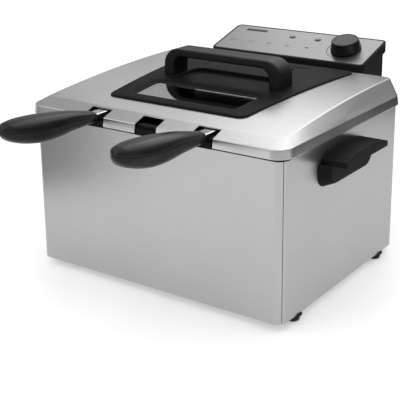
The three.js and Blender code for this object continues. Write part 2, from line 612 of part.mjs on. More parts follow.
function addControlBody() {
  const half = UNIT.half - UNIT.bodyInset;
  const rear = UNIT.rearY - UNIT.bodyInset;
  const side = (inset, bottom) => {
    const topAt = (y) => UNIT.frontZ + (y - UNIT.frontY) * Math.tan(slopeAngle) - UNIT.capThick - GAP;
    const front = UNIT.bodyFront + inset;
    const back = rear - inset;
    const rise = inset > 0 ? 10 : 0;
    return polygon([[front, bottom], [back, bottom],
      [back, topAt(back) + rise], [front, topAt(front) + rise]]);
  };
  const across = (inset) => [UNIT.middleX - half + inset, UNIT.middleX + half - inset];
  const shell = cut(profile(side(0, UNIT.bodyBottom), ...across(0)),
    profile(side(UNIT.wall, UNIT.bodyBottom + UNIT.wall), ...across(UNIT.wall)));
  const y0 = UNIT.bodyFront - 1;
  const y1 = UNIT.bodyFront + UNIT.wall + 1;
  const tubeHoles = [-ELEMENT.terminalX, ELEMENT.terminalX].map((x) => rod(
    [x, y0, ELEMENT.overRim], [x, y1, ELEMENT.overRim], ELEMENT.radius + GAP, 12));
  const probeHole = rod(
    [PROBE.x, y0, ELEMENT.overRim], [PROBE.x, y1, ELEMENT.overRim], PROBE.radius + GAP, 10);
  const bracketHoles = bracketScrews(y0, y1, BRACKET.screwRadius + GAP);
  const resetHole = rod([RESET.x, rear - 5, RESET.z], [RESET.x, rear + 3, RESET.z], RESET.radius + GAP, 16);
  const glandHole = rod([GLAND.x, rear - 5, GLAND.z], [GLAND.x, rear + 3, GLAND.z], GLAND.radius + GAP, 16);
  const holes = [...tubeHoles, probeHole, ...bracketHoles, resetHole, glandHole];
  addNode('control_housing', cut(shell, ...holes), BLACK);
}

function addControlTop() {
  const middleY = (UNIT.frontY + UNIT.rearY) / 2;
  const halfDepth = (UNIT.rearY - UNIT.frontY) / 2;
  const plan = slab(rectangle(UNIT.half, halfDepth, UNIT.capRadius, UNIT.middleX, middleY), 200, 280);
  const wedge = polygon([[UNIT.frontY, UNIT.frontZ - UNIT.capThick], [UNIT.rearY, UNIT.rearZ - UNIT.capThick],
    [UNIT.rearY, UNIT.rearZ], [UNIT.frontY, UNIT.frontZ]]);
  const side = profile(wedge, UNIT.middleX - UNIT.half, UNIT.middleX + UNIT.half);
  const panel = (margin, radius) => rectangle(
    UNIT.half - margin, slopeLength / 2 - margin, radius, UNIT.middleX);
  const recess = panel(UNIT.bezel, FACEPLATE.radius);
  const openings = [slab(recess, -UNIT.recess, 1), shaftHole(-20, 5), ...lampHoles(-20, 5, GAP)];
  addNode('control_cap', cut(common(plan, side), ...openings.map(onPanel)), BLACK);
  const plate = panel(UNIT.bezel + GAP, FACEPLATE.radius - GAP);
  const plateBottom = GAP - UNIT.recess;
  const face = cut(slab(plate, plateBottom, plateBottom + FACEPLATE.thick), shaftHole(-20, 5),
    ...lampHoles(-20, 5, GAP));
  addNode('control_faceplate', onPanel(face), BRUSHED);
  for (const [name, look] of [['red', RED], ['green', GREEN]]) {
    addNode(`${name}_lamp_lens`, onPanel(oval(LAMP.radiusU, LAMP.radiusV, LAMP.us[name], LAMP.v,
      -LAMP.depth, LAMP.proud)), look);
  }
}

function addKnob() {
  const { radius, topRadius, height, lift, shaftRadius, u, v } = KNOB;
  const points = [[0, lift + 3], [shaftRadius + GAP, lift + 3], [shaftRadius + GAP, lift], [radius, lift],
    [radius, lift + 1.5], [topRadius, height - 1], [topRadius - 1, height], [0, height]];
  const lathe = new THREE.LatheGeometry(points.map((p) => new THREE.Vector2(...p)), 24);
  lathe.rotateX(Math.PI / 2);
  lathe.translate(u, v, 0);
  addNode('thermostat_knob', onPanel(toSolid(lathe)), BLACK);
  const top = -UNIT.capThick - THERMOSTAT.below;
  const drum = rod([u, v, top - THERMOSTAT.depth], [u, v, top], THERMOSTAT.radius, 20);
  addNode('thermostat', onPanel(cut(drum, shaftHole(top - 1.5, 0))), DARK_METAL);
  const shaft = rod([u, v, top - 0.5], [u, v, lift + 3 - GAP], shaftRadius, 14);
  addNode('thermostat_shaft', onPanel(shaft), BRIGHT);
}

// ---------- heating element and its bracket ----------
function addBracket() {
  const b = BRACKET;
  const t = b.thick;
  const rear = bracketRearY;
  const section = polygon([[b.dropY, b.dropBottom], [b.dropY + t, b.dropBottom], [b.dropY + t, b.z],
    [rear, b.z], [rear, b.rearBottom], [rear + t, b.rearBottom], [rear + t, b.z + t], [b.dropY, b.z + t]]);
  const holes = bracketScrews(140, 155, b.screwRadius + GAP);
  addNode('element_bracket', cut(profile(section, -b.half, b.half), ...holes), BRIGHT);
  const heads = bracketScrews(rear - 2.2, rear - GAP, 3);
  const shanks = bracketScrews(rear - 1, 159, b.screwRadius);
  heads.forEach((head, i) => addNode(`bracket_screw_${i + 1}`, join(head, shanks[i]), BRIGHT));
}

function addElement() {
  const e = ELEMENT;
  const half = (side) => [[e.terminalX, e.inUnitY, e.overRim], [e.terminalX, e.dropY, e.overRim],
    [e.terminalX, e.dropY, e.z], [e.innerX, e.rear, e.z], [e.spreadX, e.rear, e.z],
    [e.spreadX, e.front, e.z]].map(([x, y, z]) => [side * x, y, z]);
  addNode('heating_element', bentBar([...half(-1), ...half(1).reverse()], e.radius, 14, 6), DARK_METAL);
  const p = PROBE;
  addNode('thermostat_probe', bentBar([[p.x, e.inUnitY, e.overRim], [p.x, e.dropY, e.overRim],
    [p.x, e.dropY, p.z], [p.x, p.front, p.z]], p.radius, 9, 6), BRIGHT);
}

function addUnitInternals() {
  addNode('safety_switch', block(-14, 14, 156, 168, 124, 142), BLACK);
  addNode('terminal_block', block(-104, -74, 160, 178, 121.2, 138), BLACK);
  const rear = UNIT.rearY - UNIT.bodyInset;
  const inside = rear - UNIT.wall;
  const reset = (y0, y1, radius) => rod([RESET.x, y0, RESET.z], [RESET.x, y1, RESET.z], radius, 18);
  const body = reset(inside - 12, inside - GAP, RESET.guideRadius);
  addNode('reset_switch', cut(body, reset(inside - 9, inside + 1, RESET.radius + GAP)), DARK_METAL);
  const buttonInner = inside - 9 + RESET.travel + 0.5;
  addNode('reset_button', reset(buttonInner, rear + 3.5, RESET.radius), RED);
  const gland = (y0, y1, radius) => rod([GLAND.x, y0, GLAND.z], [GLAND.x, y1, GLAND.z], radius, 18);
  const flange = gland(rear + GAP, rear + 2.5, GLAND.flangeRadius);
  const collar = join(gland(inside - 3, rear + 2, GLAND.radius), flange);
  addNode('cord_gland', cut(collar, gland(inside - 5, rear + 5, GLAND.bore)), RUBBER);
}

// ---------- assembly ----------
addHousing();
addFeet();
addRimFrame();
addPot();
addSideHandles();
addLidShell();
addLidInsert();
addWindow();
addFilter();
addLidHandle();
for (const [name, x] of Object.entries(BASKET.xs)) {
  addBasket(name, x);
}
addControlBody();
addControlTop();
addKnob();
addBracket();
addElement();
addUnitInternals();

// The parts are drawn round the housing's centre line; the whole box's middle becomes the origin.
const whole = new THREE.Box3().setFromObject(object);
assembly.position.y = -(whole.min.y + whole.max.y) / 2;

export default object;
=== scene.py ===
"""Looks of the countertop deep fryer: surfaces, materials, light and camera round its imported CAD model.

Shapes are drawn in millimetres, with x and z as in the frame and y measured from the middle of the housing.
"""

import math

import bmesh
import bpy
import numpy as np
from mathutils import Matrix, Vector
from mathutils.geometry import delaunay_2d_cdt


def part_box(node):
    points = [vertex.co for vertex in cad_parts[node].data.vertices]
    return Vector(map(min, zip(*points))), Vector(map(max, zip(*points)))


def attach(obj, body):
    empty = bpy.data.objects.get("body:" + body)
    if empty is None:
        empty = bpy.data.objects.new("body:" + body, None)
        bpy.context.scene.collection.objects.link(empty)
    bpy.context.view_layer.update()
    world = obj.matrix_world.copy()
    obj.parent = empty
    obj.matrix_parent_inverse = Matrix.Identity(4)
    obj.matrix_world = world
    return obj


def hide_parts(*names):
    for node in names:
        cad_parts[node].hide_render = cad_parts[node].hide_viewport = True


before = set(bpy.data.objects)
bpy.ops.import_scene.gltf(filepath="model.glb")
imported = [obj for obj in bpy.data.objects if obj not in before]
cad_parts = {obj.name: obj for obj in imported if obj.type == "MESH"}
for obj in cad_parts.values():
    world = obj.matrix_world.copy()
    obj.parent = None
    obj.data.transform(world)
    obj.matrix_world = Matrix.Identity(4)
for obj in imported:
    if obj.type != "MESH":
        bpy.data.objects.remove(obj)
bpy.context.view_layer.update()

MM = 0.001
MIDDLE_Y = (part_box("front_panel")[0].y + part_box("side_and_back_panel")[1].y) / 2 / MM


def span(node):
    """A CAD node's x, y and z ranges, in millimetres."""
    low, high = (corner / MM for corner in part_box(node))
    return (low.x, high.x), (low.y - MIDDLE_Y, high.y - MIDDLE_Y), (low.z, high.z)


# ---------- driving dimensions ----------
SHEET = 1.0  # steel thickness
FIT = 0.35  # clearance between neighbours
SEAM_ANGLE = 55  # how far the front panel wraps round the front corners, in degrees
SEAM_GAP = 0.7
HOUSING_RADIUS = 12
POT_RADIUS = 30
POT_FLANGE = 9
LID_LIP = 11
LID_RIM_RADIUS = 21
LID_RIM_DRAFT = 1.6
LID_BEVEL_SIDE = 14
LID_CREASE_FRONT = -127
LID_CREASE_REAR = 137
LID_CREASE_RADIUS = 7
ARCH_PEAK_Z = 235
ARCH_PEAK_Y = 118
ARCH_CURVATURE = 2.45e-4
NOTCH_WIDTH = 31
NOTCH_BACK = -130
NOTCH_TOP = 222
REAR_RELIEF_HALF = 62
REAR_RELIEF_TOP = 214.5
INSERT_PROUD = 2.6
INSERT_OVERLAP = 7
INSERT_RADIUS = 12
INSERT_FRONT_HALF = 100
INSERT_REAR_HALF = 123.5
PLUG_DEPTH = 6.5
WINDOW_FRONT_HALF = 76
WINDOW_RADIUS = 8
WINDOW_BEVEL = 4.5
SEAL_WIDTH = 2.2
DISH = {"front": -10, "rear": 49, "half": 67, "radius": 14, "floor": -2.6}
FILTER_FLOOR = -5
FILTER_RADIUS = 5
SLOT_COUNT = 9
SLOT_PITCH = 12
SLOT_WIDTH = 3
SLOT_Y = (86, 104)
VENT_COUNT = 4
VENT_PITCH = 28
VENT_HALF = 9
HANDLE_LEG = 17
HANDLE_BAR = 10.5
HANDLE_OUTER_RADIUS = 22
HANDLE_INNER_RADIUS = 13
HANDLE_EDGE = 3.2
STRAP_BEND = 7
GRIP_SEAM = 0.52  # height of the seam, as a share of the grip's height
# Along the grip: distance from its inner end, lower edge, upper edge, half width.
GRIP_STATIONS = [
    (0, 206.5, 220.0, 9.6),
    (21, 206.3, 225.1, 12.2),
    (43, 206.0, 230.0, 14.6),
    (71, 204.5, 234.3, 17.3),
    (94, 205.7, 236.7, 18.4),
    (114, 209.6, 237.9, 17.6),
    (128, 214.1, 237.6, 14.7),
    (136.5, 218.6, 236.6, 10.6),
    (142, 225.4, 232.6, 2.4),
]
UNIT_FRONT_Z = 240.5
UNIT_REAR_Z = 262.5
CAP_THICK = 14
CAP_RADIUS = 7
BEZEL = 3
RECESS = 1.2
KNOB_U = 79.5
LAMP_U = {"red": -14, "green": 27}
LAMP_RADII = (4.6, 3.4)
LAMP_V = 17.5
DIAL_RADIUS = 26.5


# ---------- shape helpers ----------
def unit(vector):
    return vector / np.linalg.norm(vector)


def limited(vectors, reach):
    """The vectors, shortened to reach, or to a little under half their own length."""
    lengths = np.linalg.norm(vectors, axis=-1, keepdims=True)
    return vectors * np.minimum(reach / np.maximum(lengths, 1e-9), 0.48)


def soften(rows, radii, steps=4, wrap=False):
    """Rounds a loft's edges or a path's corners: a row with a radius becomes several rows on a curve."""
    rows = [np.asarray(row, float) for row in rows]
    count = len(rows)
    made = []
    for i, row in enumerate(rows):
        radius = radii[i]
        at_end = not wrap and i in (0, count - 1)
        if at_end or radius <= 0:
            made.append(row)
            continue
        start = row + limited(rows[i - 1] - row, radius)
        end = row + limited(rows[(i + 1) % count] - row, radius)
        for t in np.linspace(0, 1, steps + 1):
            made.append((1 - t) ** 2 * start + 2 * t * (1 - t) * row + t * t * end)
    return made


def rounded(corners, radius, steps=10, along=0):
    """An anticlockwise outline with round corners, and extra points along each straight side."""
    corners = [np.array(corner, float) for corner in corners]
    radii = radius if isinstance(radius, (list, tuple)) else [radius] * len(corners)
    arcs = []
    for i, corner in enumerate(corners):
        before = unit(corners[i - 1] - corner)
        after = unit(corners[(i + 1) % len(corners)] - corner)
        half = math.acos(before @ after) / 2
        size = max(radii[i], 0.02)
        centre = corner + unit(before + after) * size / math.sin(half)
        start = corner + before * size / math.tan(half) - centre
        end = corner + after * size / math.tan(half) - centre
        first = math.atan2(start[1], start[0])
        turn = (math.atan2(end[1], end[0]) - first + math.pi) % (2 * math.pi) - math.pi
        angles = first + turn * np.arange(steps + 1) / steps
        arcs.append(centre + size * np.column_stack([np.cos(angles), np.sin(angles)]))
    points = []
    for i, arc in enumerate(arcs):
        points.extend(arc)
        following = arcs[(i + 1) % len(arcs)][0]
        for k in range(1, along + 1):
            points.append(arc[-1] + (following - arc[-1]) * k / (along + 1))
    return np.array(points)


def four_sided(front, rear, front_half, rear_half, radius, centre=0.0, **detail):
    """An outline by margin: a rounded four-sided shape that shrinks by the margin."""
    slope = (rear_half - front_half) / (rear - front)

    def at(margin):
        half_f = front_half - margin + slope * margin
        half_r = rear_half - margin - slope * margin
        corners = [(centre - half_f, front + margin), (centre + half_f, front + margin),
                   (centre + half_r, rear - margin), (centre - half_r, rear - margin)]
        return rounded(corners, max(radius - margin, 0.2), **detail)

    return at


def rectangle(x_range, y_range, radius, **detail):
    half = (x_range[1] - x_range[0]) / 2
    return four_sided(*y_range, half, half, radius, centre=sum(x_range) / 2, **detail)


def ellipse(u, v, radius_u, radius_v, sides=32):
    def at(margin):
        angles = np.arange(sides) * 2 * math.pi / sides
        circle = np.column_stack([np.cos(angles), np.sin(angles)])
        return np.array([u, v]) + circle * (radius_u - margin, radius_v - margin)

    return at


def lift(outline, height):
    """An outline at a height, which is a number or a function of y."""
    z = height(outline[:, 1]) if callable(height) else np.full(len(outline), float(height))
    return np.column_stack([outline, z])


def arch(offset=0.0):
    """Height of the lid's arched top, plus an offset, as a function of y."""
    return lambda y: ARCH_PEAK_Z - ARCH_CURVATURE * (y - ARCH_PEAK_Y) ** 2 + offset


def edge_distance(points, outline):
    """Distance of each point from an outline, and whether it is inside."""
    start = outline
    end = np.roll(outline, -1, axis=0)
    side = end - start
    offset = points[:, None, :] - start[None]
    share = np.clip((offset * side).sum(-1) / np.maximum((side * side).sum(-1), 1e-12), 0, 1)
    distance = np.linalg.norm(offset - share[..., None] * side, axis=-1).min(1)
    px, py = points[:, 0, None], points[:, 1, None]
    spans = (start[:, 1] > py) != (end[:, 1] > py)
    rise = np.where(side[:, 1] == 0, 1e-12, side[:, 1])
    crossing = px < side[:, 0] * (py - start[:, 1]) / rise + start[:, 0]
    return distance, (spans & crossing).sum(1) % 2 == 1


class Shape:
    """Points and faces of one piece."""

    def __init__(self):
        self.points = []
        self.faces = []

    def add(self, points):
        start = len(self.points)
        self.points.extend(tuple(point) for point in points)
        return list(range(start, len(self.points)))

    def cap(self, row):
        self.faces.append(self.add(row))
        return self

    def loft(self, rows, closed=True, wrap=False, caps=False):
        """Faces between rows of points. closed joins a row's ends, wrap joins the last row to the first."""
        indices = [self.add(row) for row in rows]
        pairs = list(zip(indices, indices[1:])) + ([(indices[-1], indices[0])] if wrap else [])
        for low, high in pairs:
            for i in range(len(low) if closed else len(low) - 1):
                j = (i + 1) % len(low)
                self.faces.append((low[i], low[j], high[j], high[i]))
        if caps and closed:
            self.faces.append(tuple(indices[0]))
            self.faces.append(tuple(indices[-1]))
        if caps and not closed:
            self.faces.append(tuple(row[0] for row in indices))
            self.faces.append(tuple(row[-1] for row in indices))
        return self

    def fill(self, outer, holes, height, spacing=9.0):
        """A surface over the area between an outline and its holes, at a height given by y."""
        low, high = outer.min(0), outer.max(0)
        steps = np.maximum(((high - low) / spacing).astype(int), 1)
        grid = np.stack(np.meshgrid(*(np.linspace(low[i], high[i], steps[i] + 1)[1:-1] for i in (0, 1))), -1)
        grid = grid.reshape(-1, 2)
        keep = np.ones(len(grid), bool)
        for k, loop in enumerate([outer, *holes]):
            distance, inside = edge_distance(grid, loop)
            keep &= (distance > spacing * 0.3) & (inside if k == 0 else ~inside)
        points, edges = [], []
        for loop in [outer, *holes]:
            first = len(points)
            points.extend(map(tuple, loop))
            edges.extend((first + i, first + (i + 1) % len(loop)) for i in range(len(loop)))
        points.extend(map(tuple, grid[keep]))
        flat, _, triangles, *_ = delaunay_2d_cdt([Vector(p) for p in points], edges, [], 0, 1e-5)
        flat = np.array([tuple(p) for p in flat])
        centres = flat[np.array(triangles)].mean(1)
        chosen = edge_distance(centres, outer)[1]
        for loop in holes:
            chosen &= ~edge_distance(centres, loop)[1]
        indices = self.add(lift(flat, height))
        self.faces.extend(tuple(indices[i] for i in t) for t, good in zip(triangles, chosen) if good)
        return self

    def moved(self, place):
        self.points = [tuple(p) for p in place(np.array(self.points))]
        return self


def plate(outer, holes, low, high, edge, spacing=9.0):
    """A plate with through holes and softened edges. Outlines go by margin, low and high are heights by y."""
    shape = Shape()
    for outline, inward in [(outer, 2 * edge)] + [(hole, -2 * edge) for hole in holes]:
        rows = [lift(outline(margin), height) for margin, height in (
            (inward, low), (0, low), (0, high), (inward, high))]
        shape.loft(soften(rows, [0, edge, edge, 0], steps=3))
    for height in (low, high):
        shape.fill(outer(2 * edge), [hole(-2 * edge) for hole in holes], height, spacing)
    return shape


def by_axis(axis, outline, along):
    """An outline drawn square to an axis, at a distance along it. Its x and y keep the frame's order."""
    flat = {"x": (1, 2, 0), "y": (0, 2, 1), "z": (0, 1, 2)}[axis]
    points = np.zeros((len(outline), 3))
    points[:, flat[0]] = outline[:, 0]
    points[:, flat[1]] = outline[:, 1]
    points[:, flat[2]] = along
    return points


def prism(axis, outer, start, end, edges=(0.6, 0.6)):
    """A solid along an axis between two distances, with the edges of its two end faces softened."""
    first, last = edges
    rows = [by_axis(axis, outer(2 * first), start), by_axis(axis, outer(0), start),
            by_axis(axis, outer(0), end), by_axis(axis, outer(2 * last), end)]
    return Shape().loft(soften(rows, [0, first, last, 0]), caps=True)


def box_shape(x_range, y_range, z_range, radius=0.4, edge=0.4):
    return prism("z", rectangle(x_range, y_range, radius, steps=3), *z_range, edges=(edge, edge))


def turned(profile, sides=48, radii=None, steps=4):
    """A solid turned round z from (radius, z) points."""
    if radii:
        profile = soften([np.array(p, float) for p in profile], radii, steps)
    angles = np.arange(sides) * 2 * math.pi / sides
    circle = np.column_stack([np.cos(angles), np.sin(angles)])
    return Shape().loft([lift(circle * radius, z) for radius, z in profile])


def swept(path, section, closed=False):
    """A solid whose section follows a path. The section's first axis starts near x."""
    path = np.array(path, float)
    count = len(path)
    if closed:
        tangents = np.roll(path, -1, 0) - np.roll(path, 1, 0)
    else:
        tangents = np.gradient(path, axis=0)
    tangents /= np.linalg.norm(tangents, axis=1, keepdims=True)
    side = np.array([1.0, 0.0, 0.0])
    if abs(tangents[0] @ side) > 0.9:
        side = np.array([0.0, 1.0, 0.0])
    rows = []
    for k in range(count):
        side = unit(side - (side @ tangents[k]) * tangents[k])
        up = np.cross(tangents[k], side)
        rows.append(path[k] + section[:, :1] * side + section[:, 1:] * up)
    return Shape().loft(rows, wrap=closed, caps=not closed)


def circle_section(radius, sides=12):
    angles = np.arange(sides) * 2 * math.pi / sides
    return radius * np.column_stack([np.cos(angles), np.sin(angles)])


def bent(corners, radius, steps=8):
    """A path through corners, each rounded."""
    corners = [np.array(corner, float) for corner in corners]
    return soften(corners, [radius] * len(corners), steps)


def bar(start, end, radius, sides=24):
    return swept([start, end], circle_section(radius, sides))


def together(shapes):
    """Several shapes as one."""
    whole = Shape()
    for shape in shapes:
        start = len(whole.points)
        whole.points.extend(shape.points)
        whole.faces.extend(tuple(start + i for i in face) for face in shape.faces)
    return whole


def mirrored(shape):
    copy = Shape()
    copy.points = [(-x, y, z) for x, y, z in shape.points]
    copy.faces = [tuple(reversed(face)) for face in shape.faces]
    return copy


# ---------- pieces ----------
def mesh_object(name, shape):
    mesh = bpy.data.meshes.new(name)
    points = np.array(shape.points) + (0, MIDDLE_Y, 0)
    mesh.from_pydata((points * MM).tolist(), [], [list(face) for face in shape.faces])
    work = bmesh.new()
    work.from_mesh(mesh)
    bmesh.ops.remove_doubles(work, verts=work.verts, dist=2e-6)
    bmesh.ops.dissolve_degenerate(work, edges=work.edges, dist=1e-6)
    bmesh.ops.recalc_face_normals(work, faces=work.faces)
    work.to_mesh(mesh)
    work.free()
    piece = bpy.data.objects.new(name, mesh)
    bpy.context.scene.collection.objects.link(piece)
    return piece


def combine(piece, shapes, operation):
    """Cuts shapes out of a piece, or joins them to it."""
    tools = [mesh_object("tool", shape) for shape in shapes]
    for tool in tools:
        modifier = piece.modifiers.new("combine", "BOOLEAN")
        modifier.operation = operation
        modifier.solver = "EXACT"
        modifier.object = tool
    solid = bpy.data.meshes.new_from_object(piece.evaluated_get(bpy.context.evaluated_depsgraph_get()))
    piece.modifiers.clear()
    piece.data = solid
    for tool in tools:
        bpy.data.objects.remove(tool)


def add_piece(name, shape, look, body, stands_for=(), cut=(), join=(), sharp=34):
    piece = mesh_object(name, shape)
    if join:
        combine(piece, join, "UNION")
    if cut:
        combine(piece, cut, "DIFFERENCE")
    piece.data.shade_smooth()
    piece.data.set_sharp_from_angle(angle=math.radians(sharp))
    weighted = piece.modifiers.new("normals", "WEIGHTED_NORMAL")
    weighted.keep_sharp = True
    weighted.weight = 60
    piece.data.materials.clear()
    piece.data.materials.append(look)
    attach(piece, body)
    if stands_for:
        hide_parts(*stands_for)
    return piece


def dress(node, look, bevel=0.4):
    """Gives a carried-over CAD node its material and soft edges."""
    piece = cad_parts[node]
    piece.data.materials.clear()
    piece.data.materials.append(look)
    modifier = piece.modifiers.new("edges", "BEVEL")
    modifier.width = bevel * MM
    modifier.segments = 3
    modifier.limit_method = "ANGLE"
    modifier.angle_limit = math.radians(40)
    modifier.harden_normals = True


# ---------- materials ----------
class Look:
    """A node material: a principled shader, with noise in its colour, roughness and surface."""

    def __init__(self, name, **settings):
        self.material = bpy.data.materials.new(name)
        self.material.use_nodes = True
        self.tree = self.material.node_tree
        self.shader = self.tree.nodes["Principled BSDF"]
        for socket, value in settings.items():
            self.shader.inputs[socket.replace("_", " ")].default_value = value
        self.place = self.tree.nodes.new("ShaderNodeTexCoord").outputs["Object"]

    def node(self, kind, inputs=(), **fields):
        made = self.tree.nodes.new(kind)
        for field, value in fields.items():
            setattr(made, field, value)
        for socket, value in dict(inputs).items():
            if isinstance(value, bpy.types.NodeSocket):
                self.tree.links.new(value, made.inputs[socket])
            else:
                made.inputs[socket].default_value = value
        return made

    def stretched(self, stretch):
        """The place, scaled along each axis: a larger number is a finer pattern along that axis."""
        return self.node("ShaderNodeMapping", {"Vector": self.place, "Scale": stretch}).outputs["Vector"]

    def noise(self, scale, detail=3.0, rough=0.55, stretch=None, distortion=0.0):
        source = self.stretched(stretch) if stretch else self.place
        made = self.node("ShaderNodeTexNoise", {"Vector": source, "Scale": scale, "Detail": detail,
                                                "Roughness": rough, "Distortion": distortion})
        return made.outputs["Fac"]

    def cells(self, scale):
        return self.node("ShaderNodeTexVoronoi", {"Vector": self.place, "Scale": scale}).outputs["Distance"]

    def between(self, source, low, high, start=0.3, end=0.7):
        """A source's middle range, mapped to low and high."""
        return self.node("ShaderNodeMapRange", {"Value": source, "From Min": start, "From Max": end,
                                                "To Min": low, "To Max": high}).outputs["Result"]

    def blend(self, share, first, second):
        made = self.node("ShaderNodeMix", data_type="RGBA")
        for socket, value in ((0, share), (6, first), (7, second)):
            if isinstance(value, bpy.types.NodeSocket):
                self.tree.links.new(value, made.inputs[socket])
            else:
                made.inputs[socket].default_value = value
        return made.outputs[2]

    def set(self, socket, source):
        self.tree.links.new(source, self.shader.inputs[socket])

    def bump(self, layers):
        """Surface detail from (source, height in millimetres) layers."""
        normal = None
        for source, height in layers:
            inputs = {"Height": source, "Strength": 1.0, "Distance": height * MM}
            if normal:
                inputs["Normal"] = normal
            normal = self.node("ShaderNodeBump", inputs).outputs["Normal"]
        self.set("Normal", normal)

    def painted_edge_highlight(self, colour, tint, amount):
        """Lightens convex edges a little: a painted highlight along the edges."""
        pointed = self.node("ShaderNodeNewGeometry").outputs["Pointiness"]
        share = self.between(pointed, 0.0, amount, 0.52, 0.62)
        return self.blend(share, colour, tint)


def grey(level, warm=0.0):
    return (level * (1 + warm), level, level * (1 - warm), 1)


def brushed_steel(name, grain, tone=0.5, tangent="Z", turn=0.0, anisotropic=0.6, rough=0.3):
    """Brushed stainless steel. grain is the stretch of its streaks, which run along the smallest number."""
    look = Look(name, Metallic=1.0, Anisotropic=anisotropic, Anisotropic_Rotation=turn)
    streaks = look.noise(1.0, detail=4, rough=0.7, stretch=grain)
    fine = look.noise(1.0, detail=2, rough=0.6, stretch=tuple(3.1 * g for g in grain))
    clouds = look.noise(9.0, detail=2)
    base = look.blend(look.between(streaks, 0, 1), grey(tone * 0.93), grey(tone * 1.06))
    look.set("Base Color", look.blend(look.between(clouds, 0, 0.35), base, grey(tone * 1.1, 0.004)))
    look.set("Roughness", look.between(streaks, rough - 0.05, rough + 0.06))
    look.bump([(streaks, 0.012), (fine, 0.006)])
    direction = look.node("ShaderNodeTangent", direction_type="RADIAL", axis=tangent)
    look.set("Tangent", direction.outputs["Tangent"])
    return look.material


def patterned(name, marks, colours, rough, height, rough_marks=None, grain=None, **settings):
    """A look whose colour, roughness and surface follow noise. Each pattern is the settings of Look.noise."""
    look = Look(name, **settings)
    pattern = look.noise(**marks)
    look.set("Base Color", look.blend(look.between(pattern, 0, 1), *colours))
    look.set("Roughness", look.between(look.noise(**rough_marks) if rough_marks else pattern, *rough))
    look.bump([(look.noise(**grain) if grain else pattern, height)])
    return look.material


def textured_plastic(name, level, rough, grain_height=0.035, grain=1500, shine=0.45):
    """Moulded black plastic with a fine spark-eroded grain and faintly lighter convex edges, a painted
    highlight.
    """
    look = Look(name, Specular_IOR_Level=shine)
    speckle = look.noise(grain, detail=3, rough=0.7)
    pebbles = look.cells(grain * 0.8)
    smears = look.noise(14, detail=3)
    colour = look.blend(look.between(smears, 0, 1), grey(level * 0.85), grey(level * 1.2))
    # Convex edges are lightened towards grey: a painted highlight.
    look.set("Base Color", look.painted_edge_highlight(colour, grey(level * 2.2), 0.35))
    look.set("Roughness", look.between(smears, rough - 0.05, rough + 0.07))
    look.bump([(speckle, grain_height), (pebbles, grain_height * 0.5)])
    return look.material


def non_stick():
    """Dark coated steel with fine light flecks."""
    look = Look("dark_pot", Metallic=0.35)
    flecks = look.between(look.noise(700, detail=1), 0, 1, 0.68, 0.74)
    look.set("Base Color", look.blend(flecks, grey(0.035, 0.02), grey(0.16, 0.02)))
    look.set("Roughness", look.between(look.noise(40), 0.34, 0.46))
    look.bump([(look.noise(500), 0.02)])
    return look.material


def zinc():
    """Zinc-plated sheet with its spangle."""
    look = Look("zinc_plate", Metallic=1.0)
    spangle = look.node("ShaderNodeTexVoronoi", {"Vector": look.place, "Scale": 110.0}).outputs["Color"]
    share = look.node("ShaderNodeSeparateColor", {"Color": spangle}).outputs["Red"]
    look.set("Base Color", look.blend(share, grey(0.42), grey(0.56)))
    look.set("Roughness", look.between(share, 0.35, 0.5, 0, 1))
    look.bump([(look.noise(400), 0.02)])
    return look.material


def lens(name, colour):
    """Tinted lamp lens with fine ribs inside."""
    dark = tuple(0.6 * c for c in colour[:3]) + (1,)
    ribs = {"scale": 1.0, "detail": 1, "stretch": (2500, 300, 300)}
    return patterned(name, ribs, (dark, colour), (0.12, 0.24), 0.02,
                     Transmission_Weight=0.1, IOR=1.49, Coat_Weight=0.1)


STEEL_WALL = brushed_steel("brushed_steel_wall", (45, 45, 4200), tone=0.42)
STEEL_LID = brushed_steel("brushed_steel_lid", (40, 3600, 3600), tone=0.46, tangent="X", turn=0.25)
STEEL_PANEL = brushed_steel("brushed_steel_panel", (60, 4200, 4200), tone=0.2, tangent="X", turn=0.25)
BRIGHT = patterned("bright_steel", {"scale": 60, "detail": 4, "stretch": (1, 1, 0.4)},
                   (grey(0.62), grey(0.74)), (0.12, 0.24), 0.02, rough_marks={"scale": 220}, Metallic=1.0)
PLASTIC = textured_plastic("black_plastic", 0.007, 0.5, shine=0.05)
HANDLE_PLASTIC = textured_plastic("black_plastic_handle", 0.006, 0.32, shine=0.15)
UNIT_PLASTIC = textured_plastic("black_plastic_unit", 0.007, 0.5, shine=0.1)
SATIN = textured_plastic("satin_black_plastic", 0.005, 0.28, grain_height=0.012, grain=900, shine=0.22)
RUBBER = patterned("black_rubber", {"scale": 90, "detail": 5}, (grey(0.008), grey(0.02)), (0.6, 0.8), 0.02,
                   grain={"scale": 1800}, Specular_IOR_Level=0.3)
NON_STICK = non_stick()
# Heat-darkened tube and plated cases, with a straw to blue tint.
DARK_METAL = patterned("dark_metal", {"scale": 18, "detail": 3}, (grey(0.11, 0.05), grey(0.2, -0.02)),
                       (0.3, 0.45), 0.02, rough_marks={"scale": 300}, grain={"scale": 900}, Metallic=1.0)
ZINC = zinc()
FIBRE = patterned("filter_mat", {"scale": 500, "detail": 5, "stretch": (1, 0.3, 1), "distortion": 1.5},
                  (grey(0.02), grey(0.07)), (0.85, 0.95), 0.3, Specular_IOR_Level=0.2)
GLASS = patterned("window_glass", {"scale": 30, "detail": 3}, (grey(0.5), grey(0.56)), (0.02, 0.045), 0.004,
                  grain={"scale": 12}, Transmission_Weight=1.0, IOR=1.52,
                  Coat_Weight=1.0, Coat_IOR=2.2, Coat_Roughness=0.02)
RED_LENS = lens("red_lens", (0.16, 0.004, 0.03, 1))
GREEN_LENS = lens("green_lens", (0.004, 0.06, 0.045, 1))
RED_PLASTIC = textured_plastic("red_plastic", 0.03, 0.35)
INK = patterned("panel_ink", {"scale": 400, "detail": 3}, (grey(0.012), grey(0.03)), (0.5, 0.65), 0.004,
                Specular_IOR_Level=0.3)


